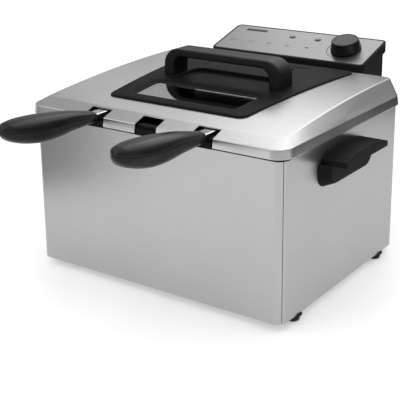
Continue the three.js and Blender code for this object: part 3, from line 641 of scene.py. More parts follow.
# ---------- housing ----------
WALL_X, WALL_Y, WALL_Z = span("side_and_back_panel")
HALF_X = WALL_X[1]
HALF_Y = WALL_Y[1]


def corner_arc(side_x, side_y, offset, start, end, steps=18):
    """Points on one corner of the housing's wall, between two angles in degrees."""
    angles = np.radians(np.linspace(start, end, steps + 1))
    centre = np.array([side_x * (HALF_X - HOUSING_RADIUS), side_y * (HALF_Y - HOUSING_RADIUS)])
    return centre + (HOUSING_RADIUS - offset) * np.column_stack([np.cos(angles), np.sin(angles)])


def wall_strip(route):
    """A strip of sheet steel as tall as the housing. route gives its plan at an offset from the outside."""
    low, high = WALL_Z
    section = soften([(0, low), (0, high), (SHEET, high), (SHEET, low)], [0.45] * 4, steps=3, wrap=True)
    return Shape().loft([lift(route(offset), z) for offset, z in section], closed=False, wrap=True, caps=True)


def add_housing():
    half_gap = math.degrees(SEAM_GAP / 2 / HOUSING_RADIUS)
    seam = -90 + SEAM_ANGLE

    def front(offset):
        return np.vstack([corner_arc(-1, -1, offset, 180 - seam + half_gap, 270),
                          corner_arc(1, -1, offset, -90, seam - half_gap)])

    def back(offset):
        return np.vstack([corner_arc(1, -1, offset, seam + half_gap, 0),
                          corner_arc(1, 1, offset, 0, 90),
                          corner_arc(-1, 1, offset, 90, 180),
                          corner_arc(-1, -1, offset, 180, 180 - seam - half_gap)])

    for side, route in (("front", front), ("side_and_back", back)):
        add_piece(f"{side}_wrap", wall_strip(route), STEEL_WALL, "base", [f"{side}_panel"])
    dress("base_plate", ZINC, 0.3)


def add_feet():
    for place in ("front_left", "front_right", "rear_left", "rear_right"):
        node = f"foot_{place}"
        x_range, y_range, z_range = span(node)
        centre = (sum(x_range) / 2, sum(y_range) / 2, 0)
        wide = (x_range[1] - x_range[0]) / 2
        top = z_range[1]
        profile = [(0, 0), (wide - 3.7, 0), (wide - 2.5, 2.2), (wide - 2.5, 6.2), (wide, 6.8), (wide, 8.6),
                   (wide - 5.5, 8.65), (wide - 5.5, top), (0, top)]
        foot = turned(profile, radii=[0, 1.0, 1.0, 0.8, 0.6, 0.6, 0, 0, 0])
        foot.moved(lambda points, shift=centre: points + shift)
        add_piece(f"{node}_moulding", foot, RUBBER, "base", [node])


def add_rim_frame():
    flange_low, flange_high = 199.5, 201.5
    skirt_low = span("rim_frame")[2][0]
    skirt_wall = 2.2
    outside = rectangle((-HALF_X, HALF_X), (-HALF_Y, HALF_Y), HOUSING_RADIUS, steps=14)
    pot_y = span("oil_pot")[1]
    middle = sum(pot_y) / 2
    opening = rectangle((-163.5, 163.5), (middle - 126, middle + 126), POT_RADIUS + 2, steps=14)
    inset = SHEET + FIT
    rows = [lift(outside(0.5), flange_high), lift(opening(0), flange_high), lift(opening(0), flange_low),
            lift(outside(inset + skirt_wall), flange_low), lift(outside(inset + skirt_wall), skirt_low),
            lift(outside(inset), skirt_low), lift(outside(inset), flange_low), lift(outside(0.5), flange_low)]
    ring = Shape().loft(soften(rows, [0.7, 0.7, 0.6, 1.2, 0.7, 0.7, 0, 0.3], wrap=True), wrap=True)
    rests = []
    front, step, back = span("rim_frame")[1][0], -145.8, -136
    low = flange_high - 1.2
    lip_top, top = 208, span("rim_frame")[2][1]
    for x in (-78, 0, 78):
        across = (x - 14.25, x + 14.25)
        rests.append(box_shape(across, (front, step + 2), (low, lip_top), 0.8, 0.7))
        rests.append(box_shape(across, (step, back), (low, top), 0.8, 0.7))
    add_piece("rim_frame_moulding", ring, PLASTIC, "base", ["rim_frame"], join=rests)


def add_pot():
    x_range, y_range, (bottom, top) = span("oil_pot")
    wall, sheet = 1.2, 1.4
    rim = rectangle(x_range, y_range, POT_RADIUS + POT_FLANGE, steps=14)

    def body(margin):
        return rim(POT_FLANGE + margin)

    rows = [lift(body(30), bottom), lift(body(0), bottom), lift(body(0), top - sheet),
            lift(rim(0), top - sheet), lift(rim(0), top), lift(body(wall), top),
            lift(body(wall), bottom + wall), lift(body(30), bottom + wall)]
    pot = Shape().loft(soften(rows, [0, 16, 3, 0.6, 0.6, 4, 15, 0], steps=6), caps=True)
    levels = []
    rear = y_range[1] - POT_FLANGE - wall
    for z in (104, 150):
        levels.append(box_shape((-26, 26), (rear - 0.7, rear + 0.4), (z - 0.7, z + 0.7), 0.2, 0.2))
    add_piece("oil_pot_pressing", pot, NON_STICK, "oil_pot", ["oil_pot"])
    add_piece("oil_level_marks", together(levels), NON_STICK, "oil_pot", ())


# ---------- side carrying handles ----------
def add_side_handles():
    for side, name in ((-1, "left"), (1, "right")):
        node = f"side_handle_{name}"
        x_range, y_range, (bottom, top) = span(node)
        middle = sum(y_range) / 2
        wall = HALF_X + FIT
        reach = max(abs(x) for x in x_range)
        plate_half = 52.5
        plate_low, plate_end = 175, 181.5
        rise = top - plate_end
        wall_half = (y_range[1] - y_range[0]) / 2

        def plate_outline(margin):
            half = plate_half - margin
            radius = (half**2 + rise**2) / (2 * rise)
            reach_angle = math.asin(half / radius)
            angles = np.linspace(reach_angle, -reach_angle, 29)
            over = np.column_stack([middle + radius * np.sin(angles),
                                    top - margin - radius + radius * np.cos(angles)])
            ends = [(middle - half, plate_low + margin), (middle + half, plate_low + margin)]
            return np.vstack([ends, over])

        def block_outline(half, low, margin=0):
            high = plate_low + 1
            half, low = half - margin, low + margin
            left, right = middle - half, middle + half
            corners = [(left, low), (right, low), (right, high), (left, high)]
            return rounded(corners, [17 - margin, 17 - margin, 1.2, 1.2])

        plate_solid = prism("x", plate_outline, wall, reach, edges=(0.01, 0.9))
        face = HALF_X + 12.5
        rows = [by_axis("x", block_outline(wall_half, bottom), wall),
                by_axis("x", block_outline(52.5, 151), face), by_axis("x", block_outline(52.5, 151, 5), face)]
        block_solid = Shape().loft(soften(rows, [0, 2.6, 0]), caps=True)
        shapes = [plate_solid, block_solid]
        if side < 0:
            shapes = [mirrored(shape) for shape in shapes]
        add_piece(f"{node}_moulding", shapes[1], PLASTIC, "base", [node], join=[shapes[0]])


# ---------- lid ----------
LID_X, LID_Y, LID_Z = span("lid_shell")
RIM_TOP = 213
HANDLE_X, HANDLE_Y, HANDLE_Z = span("lid_handle")
INSERT_Y = span("lid_insert")[1]
WINDOW_X, WINDOW_Y, _ = span("window_seal")
FILTER_X, FILTER_Y, _ = span("filter_cover")
insert_outline = four_sided(*INSERT_Y, INSERT_FRONT_HALF, INSERT_REAR_HALF, INSERT_RADIUS, steps=12, along=24)
window_outline = four_sided(WINDOW_Y[0] - FIT, WINDOW_Y[1] + FIT, WINDOW_FRONT_HALF, WINDOW_X[1] + FIT,
                            WINDOW_RADIUS, steps=10, along=10)
dish_outline = four_sided(DISH["front"], DISH["rear"], DISH["half"], DISH["half"], DISH["radius"], along=10)
filter_outline = four_sided(FILTER_Y[0] - FIT, FILTER_Y[1] + FIT, FILTER_X[1] + FIT, FILTER_X[1] + FIT,
                            FILTER_RADIUS, along=10)


def add_lid_shell():
    def rim(margin):
        return rectangle((LID_X[0] + margin, LID_X[1] - margin), (LID_Y[0] + margin, LID_Y[1] - margin),
                         LID_RIM_RADIUS - min(margin, 10), steps=14, along=30)(0)

    def crease(margin):
        half = LID_X[1] - LID_BEVEL_SIDE - margin
        return rectangle((-half, half), (LID_CREASE_FRONT + margin, LID_CREASE_REAR - margin),
                         max(LID_CREASE_RADIUS - margin, 3), steps=14, along=30)(0)

    low = LID_Z[0]
    top_margin = 4.5
    rows = [
        lift(crease(top_margin), arch(-SHEET)), lift(crease(SHEET), arch(-SHEET)),
        lift(rim(SHEET + LID_RIM_DRAFT), RIM_TOP - 0.6), lift(rim(SHEET), low + SHEET),
        lift(rim(LID_LIP), low + SHEET), lift(rim(LID_LIP), low),
        lift(rim(0), low), lift(rim(LID_RIM_DRAFT), RIM_TOP),
        lift(crease(0), arch()), lift(crease(top_margin), arch()),
    ]
    shell = Shape().loft(soften(rows, [0, 1.2, 0.5, 0.4, 0, 0, 1.1, 1.3, 1.6, 0], steps=5))
    opening = insert_outline(INSERT_OVERLAP)
    shell.fill(crease(top_margin), [opening], arch(), 10)
    shell.fill(crease(top_margin), [opening], arch(-SHEET), 10)
    shell.loft([lift(opening, arch()), lift(opening, arch(-SHEET))])
    notches = [box_shape((x - NOTCH_WIDTH / 2, x + NOTCH_WIDTH / 2), (LID_Y[0] - 5, NOTCH_BACK),
                         (low - 4, NOTCH_TOP), 1.2, 0.01) for x in (-78, 0, 78)]
    relief = box_shape((-REAR_RELIEF_HALF, REAR_RELIEF_HALF), (LID_Y[1] - 14, LID_Y[1] + 5),
                       (low - 4, REAR_RELIEF_TOP), 1.2, 0.01)
    add_piece("lid_pressing", shell, STEEL_LID, "lid", ["lid_shell"],
              cut=[*notches, relief], sharp=40)


def well(shape, outline, top, floor, rim_edge, floor_radius):
    """A sunk area with soft edges, without its floor's surface."""
    rows = [lift(outline(-2 * rim_edge), arch(top)), lift(outline(0), arch(top)),
            lift(outline(0.8), arch(floor)), lift(outline(0.8 + floor_radius * 2), arch(floor))]
    shape.loft(soften(rows, [0, rim_edge, floor_radius, 0], steps=5))


def add_lid_insert():
    top = INSERT_PROUD
    shape = Shape()
    face_margin = 4.5
    plug = INSERT_OVERLAP + FIT
    rows = [lift(insert_outline(plug + 3), arch(-PLUG_DEPTH)), lift(insert_outline(plug), arch(-PLUG_DEPTH)),
            lift(insert_outline(plug), arch(FIT)), lift(insert_outline(0), arch(FIT)),
            lift(insert_outline(0.7), arch(top - 0.9)), lift(insert_outline(2.6), arch(top)),
            lift(insert_outline(face_margin), arch(top))]
    shape.loft(soften(rows, [0, 0.8, 0.3, 0.5, 0.8, 1.2, 0], steps=4))
    window_rows = [lift(window_outline(margin), arch(offset)) for margin, offset in (
        (-WINDOW_BEVEL - 1.5, top), (-WINDOW_BEVEL, top), (0, 0.2), (0, -PLUG_DEPTH), (-2, -PLUG_DEPTH))]
    shape.loft(soften(window_rows, [0, 0.7, 0.5, 0.5, 0], steps=4))
    dish_edge, filter_edge = 1.6, 0.7
    well(shape, dish_outline, top, DISH["floor"], dish_edge, 1.8)
    well(shape, filter_outline, top, FILTER_FLOOR, filter_edge, 0.6)
    wells = [window_outline(-WINDOW_BEVEL - 1.5), dish_outline(-2 * dish_edge),
             filter_outline(-2 * filter_edge)]
    shape.fill(insert_outline(face_margin), wells, arch(top), 7)
    shape.fill(dish_outline(0.8 + 3.6), [], arch(DISH["floor"]), 7)
    vents = [rectangle((x - VENT_HALF, x + VENT_HALF), (FILTER_Y[0] + 8, FILTER_Y[1] - 8), 3, steps=4)(0)
             for x in (np.arange(VENT_COUNT) - (VENT_COUNT - 1) / 2) * VENT_PITCH]
    shape.fill(filter_outline(0.8 + 1.2), vents, arch(FILTER_FLOOR), 7)
    shape.fill(insert_outline(plug + 3), [window_outline(-2), *vents], arch(-PLUG_DEPTH), 10)
    for vent in vents:
        shape.loft([lift(vent, arch(FILTER_FLOOR)), lift(vent, arch(-PLUG_DEPTH))])
    add_piece("lid_insert_moulding", shape, PLASTIC, "lid", ["lid_insert"])


def add_window():
    glass_margin = SEAL_WIDTH + FIT
    glass = plate(lambda m: window_outline(glass_margin + m), [], arch(-3.6), arch(-0.4), 0.5, 10)
    add_piece("window_pane", glass, GLASS, "lid", ["window_glass"])
    rows = [lift(window_outline(FIT), arch(-4.4)), lift(window_outline(FIT), arch(0.5)),
            lift(window_outline(SEAL_WIDTH), arch(0.9)), lift(window_outline(SEAL_WIDTH), arch(-4.4))]
    seal = Shape().loft(soften(rows, [0.3, 0.8, 0.7, 0.3], wrap=True), wrap=True)
    add_piece("window_gasket", seal, RUBBER, "lid", ["window_seal"])


def add_filter():
    slots = [rectangle((x - SLOT_WIDTH / 2, x + SLOT_WIDTH / 2), SLOT_Y, SLOT_WIDTH / 2 - 0.05, steps=6)
             for x in (np.arange(SLOT_COUNT) - (SLOT_COUNT - 1) / 2) * SLOT_PITCH]
    cover = plate(lambda m: filter_outline(FIT + m), slots, arch(0.2), arch(2.2), 0.5, 7)
    add_piece("filter_grille", cover, PLASTIC, "lid", ["filter_cover"])
    mat = plate(lambda m: filter_outline(1.2 + FIT + m), [], arch(FILTER_FLOOR + FIT), arch(-0.4), 1.0, 7)
    add_piece("filter_pad", mat, FIBRE, "lid", ["filter_mat"])


def add_lid_handle():
    """A deep loop: its section, a rounded rectangle, runs up one leg, across and down the other."""
    half, top = HANDLE_X[1], HANDLE_Z[1]
    front, rear = HANDLE_Y
    clear = INSERT_PROUD + FIT
    foot = arch(clear)(rear)
    steps = 16

    def route(half_width, height, radius):
        turn = np.radians(np.linspace(180, 90, steps + 1))
        circle = np.column_stack([np.cos(turn), np.sin(turn)])
        left = np.array([radius - half_width, height - radius]) + radius * circle
        right = left[::-1] * (-1, 1)
        legs = np.linspace(foot, height - radius, 5)[:-1]
        up = np.column_stack([np.full(4, -half_width), legs])
        down = up[::-1] * (-1, 1)
        return np.vstack([up, left, right, down])

    outer = route(half, top, HANDLE_OUTER_RADIUS)
    inner = route(half - HANDLE_LEG, top - HANDLE_BAR, HANDLE_INNER_RADIUS)
    rows = []
    for (ox, oz), (ix, iz) in zip(outer, inner):
        thick = math.hypot(ox - ix, oz - iz)
        edge = min(HANDLE_EDGE, thick * 0.45)
        crown = 0.5
        section = rounded([(0, front), (thick, front), (thick, rear), (0, rear)], edge, steps=6)
        across = section[:, 0] / thick
        bulge = crown * (1 - (2 * (section[:, 1] - front) / (rear - front) - 1) ** 2) * (across > 0.9)
        across = across - (crown - bulge) / thick * (across > 0.9)
        x = ix + (ox - ix) * across
        z = iz + (oz - iz) * across
        rows.append(np.column_stack([x, section[:, 1], z]))
    for row in (rows[0], rows[-1]):
        row[:, 2] = arch(clear)(row[:, 1])
    loop = Shape().loft(rows, caps=True)
    add_piece("lid_handle_moulding", loop, HANDLE_PLASTIC, "lid", ["lid_handle"])


# ---------- baskets ----------
def add_basket(name):
    body = f"basket_{name}"
    x_range, y_range, (bottom, top) = span(f"{body}_cage")
    add_cage(name, x_range, y_range, bottom, top)
    rim_x, rim_y, rim_z = span(f"{body}_rim")
    wire = (rim_z[1] - rim_z[0]) / 2
    ring = rectangle(rim_x, rim_y, 21, steps=14)(wire)
    add_piece(f"{body}_rim_wire", swept(lift(ring, sum(rim_z) / 2), circle_section(wire, 14), closed=True),
              BRIGHT, body, [f"{body}_rim"])
    add_strap(name)
    add_grip(name)


def add_cage(name, x_range, y_range, bottom, top):
    """Woven steel wire: rows across the floor and up both sides, and hoops round the walls."""
    body = f"basket_{name}"
    pitch = 6.5
    radius = 0.55
    corner = 18
    plan = rectangle(x_range, y_range, corner, steps=8)
    section = circle_section(radius, 5)
    shapes = []
    floor = bottom + 2
    hoop_count = int((top - 6 - floor) / pitch)
    for k in range(1, hoop_count + 1):
        z = floor + 4 + (k - 1) * pitch
        shapes.append(swept(lift(plan(1.2), z), section, closed=True))

    def crossing(low, high, at, half, middle):
        """Where a straight wire at a distance from the middle meets the rounded plan."""
        over = abs(at - middle) - (half - corner)
        if over <= 0:
            return low, high
        inset = corner - math.sqrt(max(corner**2 - over**2, 0))
        return low + inset, high - inset

    for axis in (0, 1):
        across = (x_range, y_range)[axis]
        along = (y_range, x_range)[axis]
        middle = sum(across) / 2
        half = (across[1] - across[0]) / 2
        count = int((2 * half - 6) / pitch)
        for k in range(count + 1):
            at = middle + (k - count / 2) * pitch
            low, high = crossing(*along, at, half, middle)
            low, high = low + 0.7, high - 0.7
            depth = floor + (radius * 1.7 if axis else 0)
            corners = [(low, top - 2), (low, depth), (high, depth), (high, top - 2)]
            points = [(at, a, z) if axis == 0 else (a, at, z) for a, z in corners]
            shapes.append(swept(bent(points, 6, 3), section))
    add_piece(f"{body}_mesh", together(shapes), BRIGHT, body, [f"{body}_cage"], sharp=60)
    feet = []
    for y in (y_range[0] + 30, y_range[1] - 30):
        corners = [(x_range[0] + 0.9, y, bottom + 14), (x_range[0] + 0.9, y, bottom + 1.2),
                   (x_range[1] - 0.9, y, bottom + 1.2), (x_range[1] - 0.9, y, bottom + 14)]
        feet.append(swept(bent(corners, 8, 6), circle_section(1.2, 8)))
    add_piece(f"{body}_floor_wires", together(feet), BRIGHT, body, ())


def add_strap(name):
    body = f"basket_{name}"
    node = f"{body}_handle_strap"
    x_range, y_range, z_range = span(node)
    middle = sum(x_range) / 2
    width = x_range[1] - x_range[0]
    thick = 4.5
    section = rounded([(-width / 2, -thick / 2), (width / 2, -thick / 2), (width / 2, thick / 2),
                       (-width / 2, thick / 2)], 1.4, steps=4)
    upright, level = y_range[1] - thick / 2, z_range[1] - thick / 2
    corners = [(middle, upright, z_range[0]), (middle, upright, level), (middle, y_range[0], level)]
    path = bent(corners, STRAP_BEND, 10)
    add_piece(f"{body}_handle_tongue", swept(path, section), BRIGHT, body, [node])


def smooth_stations(stations, steps):
    """Catmull-Rom curve through the stations."""
    points = [np.array(s, float) for s in stations]
    points = [2 * points[0] - points[1], *points, 2 * points[-1] - points[-2]]
    points[-1][0] = stations[-1][0]
    made = []
    for a, b, c, d in zip(points, points[1:], points[2:], points[3:]):
        for t in np.arange(steps) / steps:
            squared, cubed = 2 * a - 5 * b + 4 * c - d, 3 * b - a - 3 * c + d
            made.append(0.5 * (2 * b + (c - a) * t + squared * t**2 + cubed * t**3))
    made.append(points[-2])
    return made


def grip_half(x, start, upper):
    """Half of a grip: a half-oval outside over a flat face at the seam."""
    rows = []
    roundness = 0.78
    angles = np.linspace(0, math.pi, 25)
    sign = 1 if upper else -1
    seam_edge = 0.5
    for along, low, high, half in smooth_stations(GRIP_STATIONS, 7):
        seam = low + (high - low) * GRIP_SEAM
        tip = (high - seam) if upper else (seam - low)
        edge = min(seam_edge, tip * 0.3, half * 0.3)
        across = np.sign(np.cos(angles)) * np.abs(np.cos(angles)) ** roundness
        rise = np.sin(angles) ** roundness
        outside = np.column_stack([half * across, np.maximum(rise * tip, 0)])
        outside[:, 1] = FIT / 2 + edge * 0.5 + outside[:, 1] * (tip - FIT / 2 - edge * 0.5) / tip
        inner = np.array([(-half + edge * 0.5, FIT / 2), (half - edge * 0.5, FIT / 2)])
        ring = np.vstack([outside, inner])
        distance = np.full(len(ring), start - along)
        rows.append(np.column_stack([x + ring[:, 0], distance, seam + sign * ring[:, 1]]))
    return Shape().loft(rows, caps=True)


def add_grip(name):
    body = f"basket_{name}"
    x_range, y_range, _ = span(f"{body}_grip_upper")
    middle = sum(x_range) / 2
    for part in ("upper", "lower"):
        node = f"{body}_grip_{part}"
        half = grip_half(middle, y_range[1], part == "upper")
        add_piece(f"{node}_shell", half, SATIN, body, [node])


# ---------- control unit ----------
CAP_X, CAP_Y, _ = span("control_cap")
SLOPE = math.atan2(UNIT_REAR_Z - UNIT_FRONT_Z, CAP_Y[1] - CAP_Y[0])
SLOPE_LENGTH = math.hypot(UNIT_REAR_Z - UNIT_FRONT_Z, CAP_Y[1] - CAP_Y[0])
PANEL_MIDDLE = np.array([0, sum(CAP_Y) / 2, (UNIT_FRONT_Z + UNIT_REAR_Z) / 2])


def on_panel(points):
    """Points drawn on the sloped panel, moved to their place: u across, v up the slope, z off the panel."""
    u, v, z = points.T
    y = v * math.cos(SLOPE) - z * math.sin(SLOPE)
    height = v * math.sin(SLOPE) + z * math.cos(SLOPE)
    return np.column_stack([u, y, height]) + PANEL_MIDDLE


def slope_height(offset=0.0):
    return lambda y: UNIT_FRONT_Z + (y - CAP_Y[0]) * math.tan(SLOPE) + offset


def add_control_cap():
    plan = rectangle(CAP_X, CAP_Y, CAP_RADIUS, steps=12, along=4)
    sunk = -RECESS / math.cos(SLOPE)
    rows = [lift(plan(6), slope_height(-CAP_THICK)), lift(plan(0), slope_height(-CAP_THICK)),
            lift(plan(0), slope_height()), lift(plan(BEZEL), slope_height()),
            lift(plan(BEZEL), slope_height(sunk)), lift(plan(6), slope_height(sunk))]
    shape = Shape().loft(soften(rows, [0, 1.2, 1.1, 0.4, 0.2, 0], steps=5))
    for offset in (-CAP_THICK, sunk):
        shape.fill(plan(6), [], slope_height(offset), 20)
    add_piece("control_cap_moulding", shape, UNIT_PLASTIC, "control_unit", ["control_cap"])


def add_faceplate():
    half_v = SLOPE_LENGTH / 2 - BEZEL - FIT
    outer = rectangle((CAP_X[0] + BEZEL + FIT, CAP_X[1] - BEZEL - FIT), (-half_v, half_v), 4, steps=10)
    holes = [ellipse(KNOB_U, 0, 3.4, 3.4)]
    holes += [ellipse(u, LAMP_V, LAMP_RADII[0] + FIT, LAMP_RADII[1] + FIT) for u in LAMP_U.values()]
    low, high = FIT - RECESS, FIT - RECESS + 0.8
    face = plate(outer, holes, low, high, 0.15, 16).moved(on_panel)
    add_piece("control_panel_face", face, STEEL_PANEL, "control_unit", ["control_faceplate"])
    add_print(high)


def add_lamps():
    for name, look in (("red", RED_LENS), ("green", GREEN_LENS)):
        profile = soften([(1, -7), (1, 0.2), (0.86, 1.0), (0, 1.2)], [0, 0.3, 0.3, 0])
        oval = ellipse(0, 0, *LAMP_RADII)(0)
        rows = [lift(oval * share, z) for share, z in profile]
        shape = Shape().loft(rows).cap(rows[0])
        centre = (LAMP_U[name], LAMP_V, 0)
        dome = shape.moved(lambda p, c=centre: on_panel(p + c))
        add_piece(f"{name}_lamp_dome", dome, look, "control_unit", [f"{name}_lamp_lens"])


def ribbon(points, widths, closed=False):
    """A flat printed line: its width is given at every point."""
    points = np.array(points, float)
    if closed:
        tangents = np.roll(points, -1, 0) - np.roll(points, 1, 0)
    else:
        tangents = np.gradient(points, axis=0)
    tangents /= np.linalg.norm(tangents, axis=1, keepdims=True)
    normals = np.column_stack([-tangents[:, 1], tangents[:, 0]])
    half = np.broadcast_to(np.asarray(widths, float), len(points))[:, None] / 2
    return [points + normals * half, points - normals * half]


def add_print(surface):
    """Dial arc, five small food pictograms and a plain badge, printed on the panel."""
    low, high = surface + 0.005, surface + 0.03
    shape = Shape()

    def line(points, widths, closed=False):
        left, right = ribbon(points, widths, closed)
        rows = [lift(left, low), lift(left, high), lift(right, high), lift(right, low)]
        shape.loft(rows, closed=closed, wrap=True, caps=not closed)

    def blob(outline):
        shape.loft([lift(outline, low), lift(outline, high)], caps=True)

    def arc(u, v, radius_u, radius_v, start, end, steps=24):
        angles = np.radians(np.linspace(start, end, steps + 1))
        return np.column_stack([u + radius_u * np.cos(angles), v + radius_v * np.sin(angles)])

    dial = arc(KNOB_U, 0, DIAL_RADIUS, DIAL_RADIUS, 100, 262, 60)
    line(dial, np.interp(np.linspace(0, 1, len(dial)), [0, 0.45, 1], [1.7, 1.3, 0.35]))
    for angle in (-60, -30, 0, 30, 60):
        direction = np.array([math.cos(math.radians(angle)), math.sin(math.radians(angle))])
        centre = np.array([KNOB_U, 0])
        line([centre + direction * (DIAL_RADIUS - 1), centre + direction * (DIAL_RADIUS + 1)], 0.6)
    row_v = -8.5
    for index, u in enumerate((-98, -68, -38, -8, 23)):
        pen = 0.45
        if index == 0:  # fish
            line(arc(u, row_v, 4.2, 2.0, 20, 340), pen)
            tail = [(3.9, 0.7), (6.4, 2.2), (6.4, -2.2), (3.9, -0.7)]
            line([(u + across, row_v + up) for across, up in tail], pen)
        elif index == 1:  # drumstick
            line(arc(u + 1.5, row_v + 0.6, 3.2, 2.4, 200, 520), pen)
            line([(u - 1.6, row_v - 0.6), (u - 4.8, row_v - 2.0)], 0.9)
        elif index == 2:  # chips in a cup
            cup = [(-2.6, 0), (-1.8, -3), (1.8, -3), (2.6, 0), (-2.6, 0)]
            line([(u + across, row_v + up) for across, up in cup], pen)
            for step in (-1.6, 0, 1.6):
                line([(u + step, row_v), (u + step * 1.4, row_v + 3)], 0.8)
        elif index == 3:  # onion ring
            line(arc(u, row_v, 3.2, 2.6, 0, 345), pen)
            line(arc(u, row_v, 1.7, 1.3, 0, 345), pen)
        else:  # croquette
            blob(arc(u, row_v, 3.4, 1.5, 0, 350))
    badge = rounded([(-95, 22.0), (-60, 22.0), (-60, 28.0), (-95, 28.0)], 1.2, steps=5)
    blob(badge)
    shape.moved(on_panel)
    add_piece("panel_print", shape, INK, "control_unit", ())


def add_knob():
    profile = [(0, 2.2), (16, 2.2), (19.6, 1.2), (21, 1.2), (21, 2.6), (18.4, 14.0),
               (17.5, 14.95), (16.3, 14.8), (15.9, 14.5), (0, 14.5)]
    radii = [0, 0.4, 0.3, 0.5, 0.6, 0.7, 0.5, 0.3, 0.3, 0]
    knob = turned(profile, sides=96, radii=radii)
    points = np.array(knob.points)
    angles = np.arctan2(points[:, 1], points[:, 0])
    distance = np.hypot(points[:, 0], points[:, 1])
    on_side = (points[:, 2] > 2.2) & (points[:, 2] < 14.1) & (distance > 17.4)
    ripple = 0.12 * (np.cos(angles * 24) - 1) * on_side
    points[:, :2] *= (1 + ripple / np.maximum(distance, 1))[:, None]
    knob.points = [tuple(p) for p in points]
    pointer = math.radians(262)
    tip = np.array([math.cos(pointer), math.sin(pointer)])
    ridge = bar((*(tip * 12.9), 14.55), (*(tip * 16.9), 14.55), 0.42, 10)
    centre = (KNOB_U, 0, 0)
    knob.moved(lambda p: on_panel(p + centre))
    ridge.moved(lambda p: on_panel(p + centre))
    add_piece("thermostat_knob_moulding", knob, SATIN, "knob", ["thermostat_knob"],
              join=[ridge])


def add_control_housing():
    x_range, y_range, (bottom, _) = span("control_housing")
    wall = 2.5
    plan = rectangle(x_range, y_range, 5, steps=10, along=6)
    top = slope_height(-CAP_THICK - FIT)
    rows = [lift(plan(wall + 5), bottom + wall), lift(plan(wall), bottom + wall), lift(plan(wall), top),
            lift(plan(0), top), lift(plan(0), bottom), lift(plan(6), bottom)]
    shape = Shape().loft(soften(rows, [0, 1.5, 0.3, 0.3, 2.2, 0], steps=5), caps=True)
    front = y_range[0]
    rear = y_range[1]
    holes = []
    for x, radius in ((-40, 4.05), (40, 4.05), (0, 2.55)):
        holes.append(bar((x, front - 3, 210.2), (x, front + 6, 210.2), radius))
    for node, clearance in (("reset_button", 0.5), ("cord_gland", -1.8)):
        hole_x, _, hole_z = span(node)
        middle_x, middle_z = sum(hole_x) / 2, sum(hole_z) / 2
        radius = (hole_x[1] - hole_x[0]) / 2 + clearance
        holes.append(bar((middle_x, rear - 6, middle_z), (middle_x, rear + 4, middle_z), radius, 40))
    vents = []
    for z in np.arange(5) * 9 + 165:
        vents.append(box_shape((-24, 24), (rear - 6, rear + 4), (z, z + 3.2), 1.2, 0.01))
    add_piece("control_housing_moulding", shape, UNIT_PLASTIC, "control_unit", ["control_housing"],
              cut=[together(holes), together(vents)])


# ---------- heating element and small parts ----------
def add_element():
    x_range, y_range, (bottom, top) = span("heating_element")
    radius = 3.7
    level, floor = top - radius, bottom + radius
    drop = span("element_bracket")[1][0] - 9
    front, rear_turn = y_range[0] + radius, 52
    half, terminal, middle = x_range[1] - radius, 40, 34
    route = [(terminal, y_range[1], level), (terminal, drop, level), (terminal, drop, floor),
             (middle, rear_turn, floor), (half, rear_turn, floor), (half, front, floor)]
    corners = [(-x, y, z) for x, y, z in route] + route[::-1]
    add_piece("heating_element_tube", swept(bent(corners, 16, 12), circle_section(radius, 20)), DARK_METAL,
              "control_unit", ["heating_element"])
    _, probe_y, (probe_low, probe_high) = span("thermostat_probe")
    thin = 2.2
    path = [(0, probe_y[1], probe_high - thin), (0, drop, probe_high - thin), (0, drop, probe_low + thin),
            (0, probe_y[0] + 12, probe_low + thin)]
    tube = swept(bent(path, 10, 10), circle_section(1.3, 12))
    bulb = prism("y", ellipse(0, probe_low + thin, thin, thin, 20), probe_y[0], probe_y[0] + 60, (0.8, 0.8))
    add_piece("thermostat_probe_tube", bulb, BRIGHT, "control_unit", ["thermostat_probe"],
              join=[tube])


def add_screw(node, axis, toward, body, shank=1.8):
    """A pan-head screw with a cross recess. toward is +1 if the head is at the axis's high end."""
    ranges = span(node)
    index = "xyz".index(axis)
    low, high = ranges[index]
    length = high - low
    across = [ranges[i] for i in range(3) if i != index]
    radius = (across[0][1] - across[0][0]) / 2
    head = 2.2
    profile = [(0, 0), (shank * 0.5, 0), (shank, 0.8), (shank, length - head), (radius, length - head),
               (radius, length - head * 0.45), (radius * 0.6, length), (0, length)]
    screw = turned(profile, sides=28, radii=[0, 0, 0.2, 0.2, 0.3, 0.7, 0.6, 0])
    arm, deep = radius * 0.62, length - 1.1
    cross = [box_shape((-arm, arm), (-0.45, 0.45), (deep, length + 1), 0.1, 0.01),
             box_shape((-0.45, 0.45), (-arm, arm), (deep, length + 1), 0.1, 0.01)]
    start = np.array([sum(r) / 2 for r in ranges])
    start[index] = low if toward > 0 else high

    def place(points):
        order = {"x": (2, 0, 1), "y": (1, 2, 0), "z": (0, 1, 2)}[axis]
        moved = points[:, order].copy()
        if toward < 0:
            moved[:, index] *= -1
            moved[:, index - 1] *= -1
        return moved + start

    for shape in (screw, *cross):
        shape.moved(place)
    add_piece(f"{node}_cross_head", screw, BRIGHT, body, [node], cut=cross)


def add_small_parts():
    for place in ("front_left", "front_right", "rear_left", "rear_right"):
        add_screw(f"foot_screw_{place}", "z", 1, "base")
    for number in (1, 2):
        add_screw(f"side_handle_screw_left_{number}", "x", 1, "base")
        add_screw(f"side_handle_screw_right_{number}", "x", -1, "base")
        add_screw(f"bracket_screw_{number}", "y", -1, "control_unit", 1.7)
    for name in ("left", "right"):
        add_screw(f"lid_handle_screw_{name}", "z", -1, "lid", 2.0)
        add_screw(f"basket_{name}_grip_screw", "z", -1, f"basket_{name}", 1.7)
    dress("element_bracket", BRIGHT, 0.4)
    dress("thermostat_shaft", BRIGHT, 0.3)
    dress("thermostat", DARK_METAL, 0.8)
    dress("safety_switch", PLASTIC, 0.5)
    dress("terminal_block", PLASTIC, 0.5)
    dress("reset_switch", DARK_METAL, 0.4)


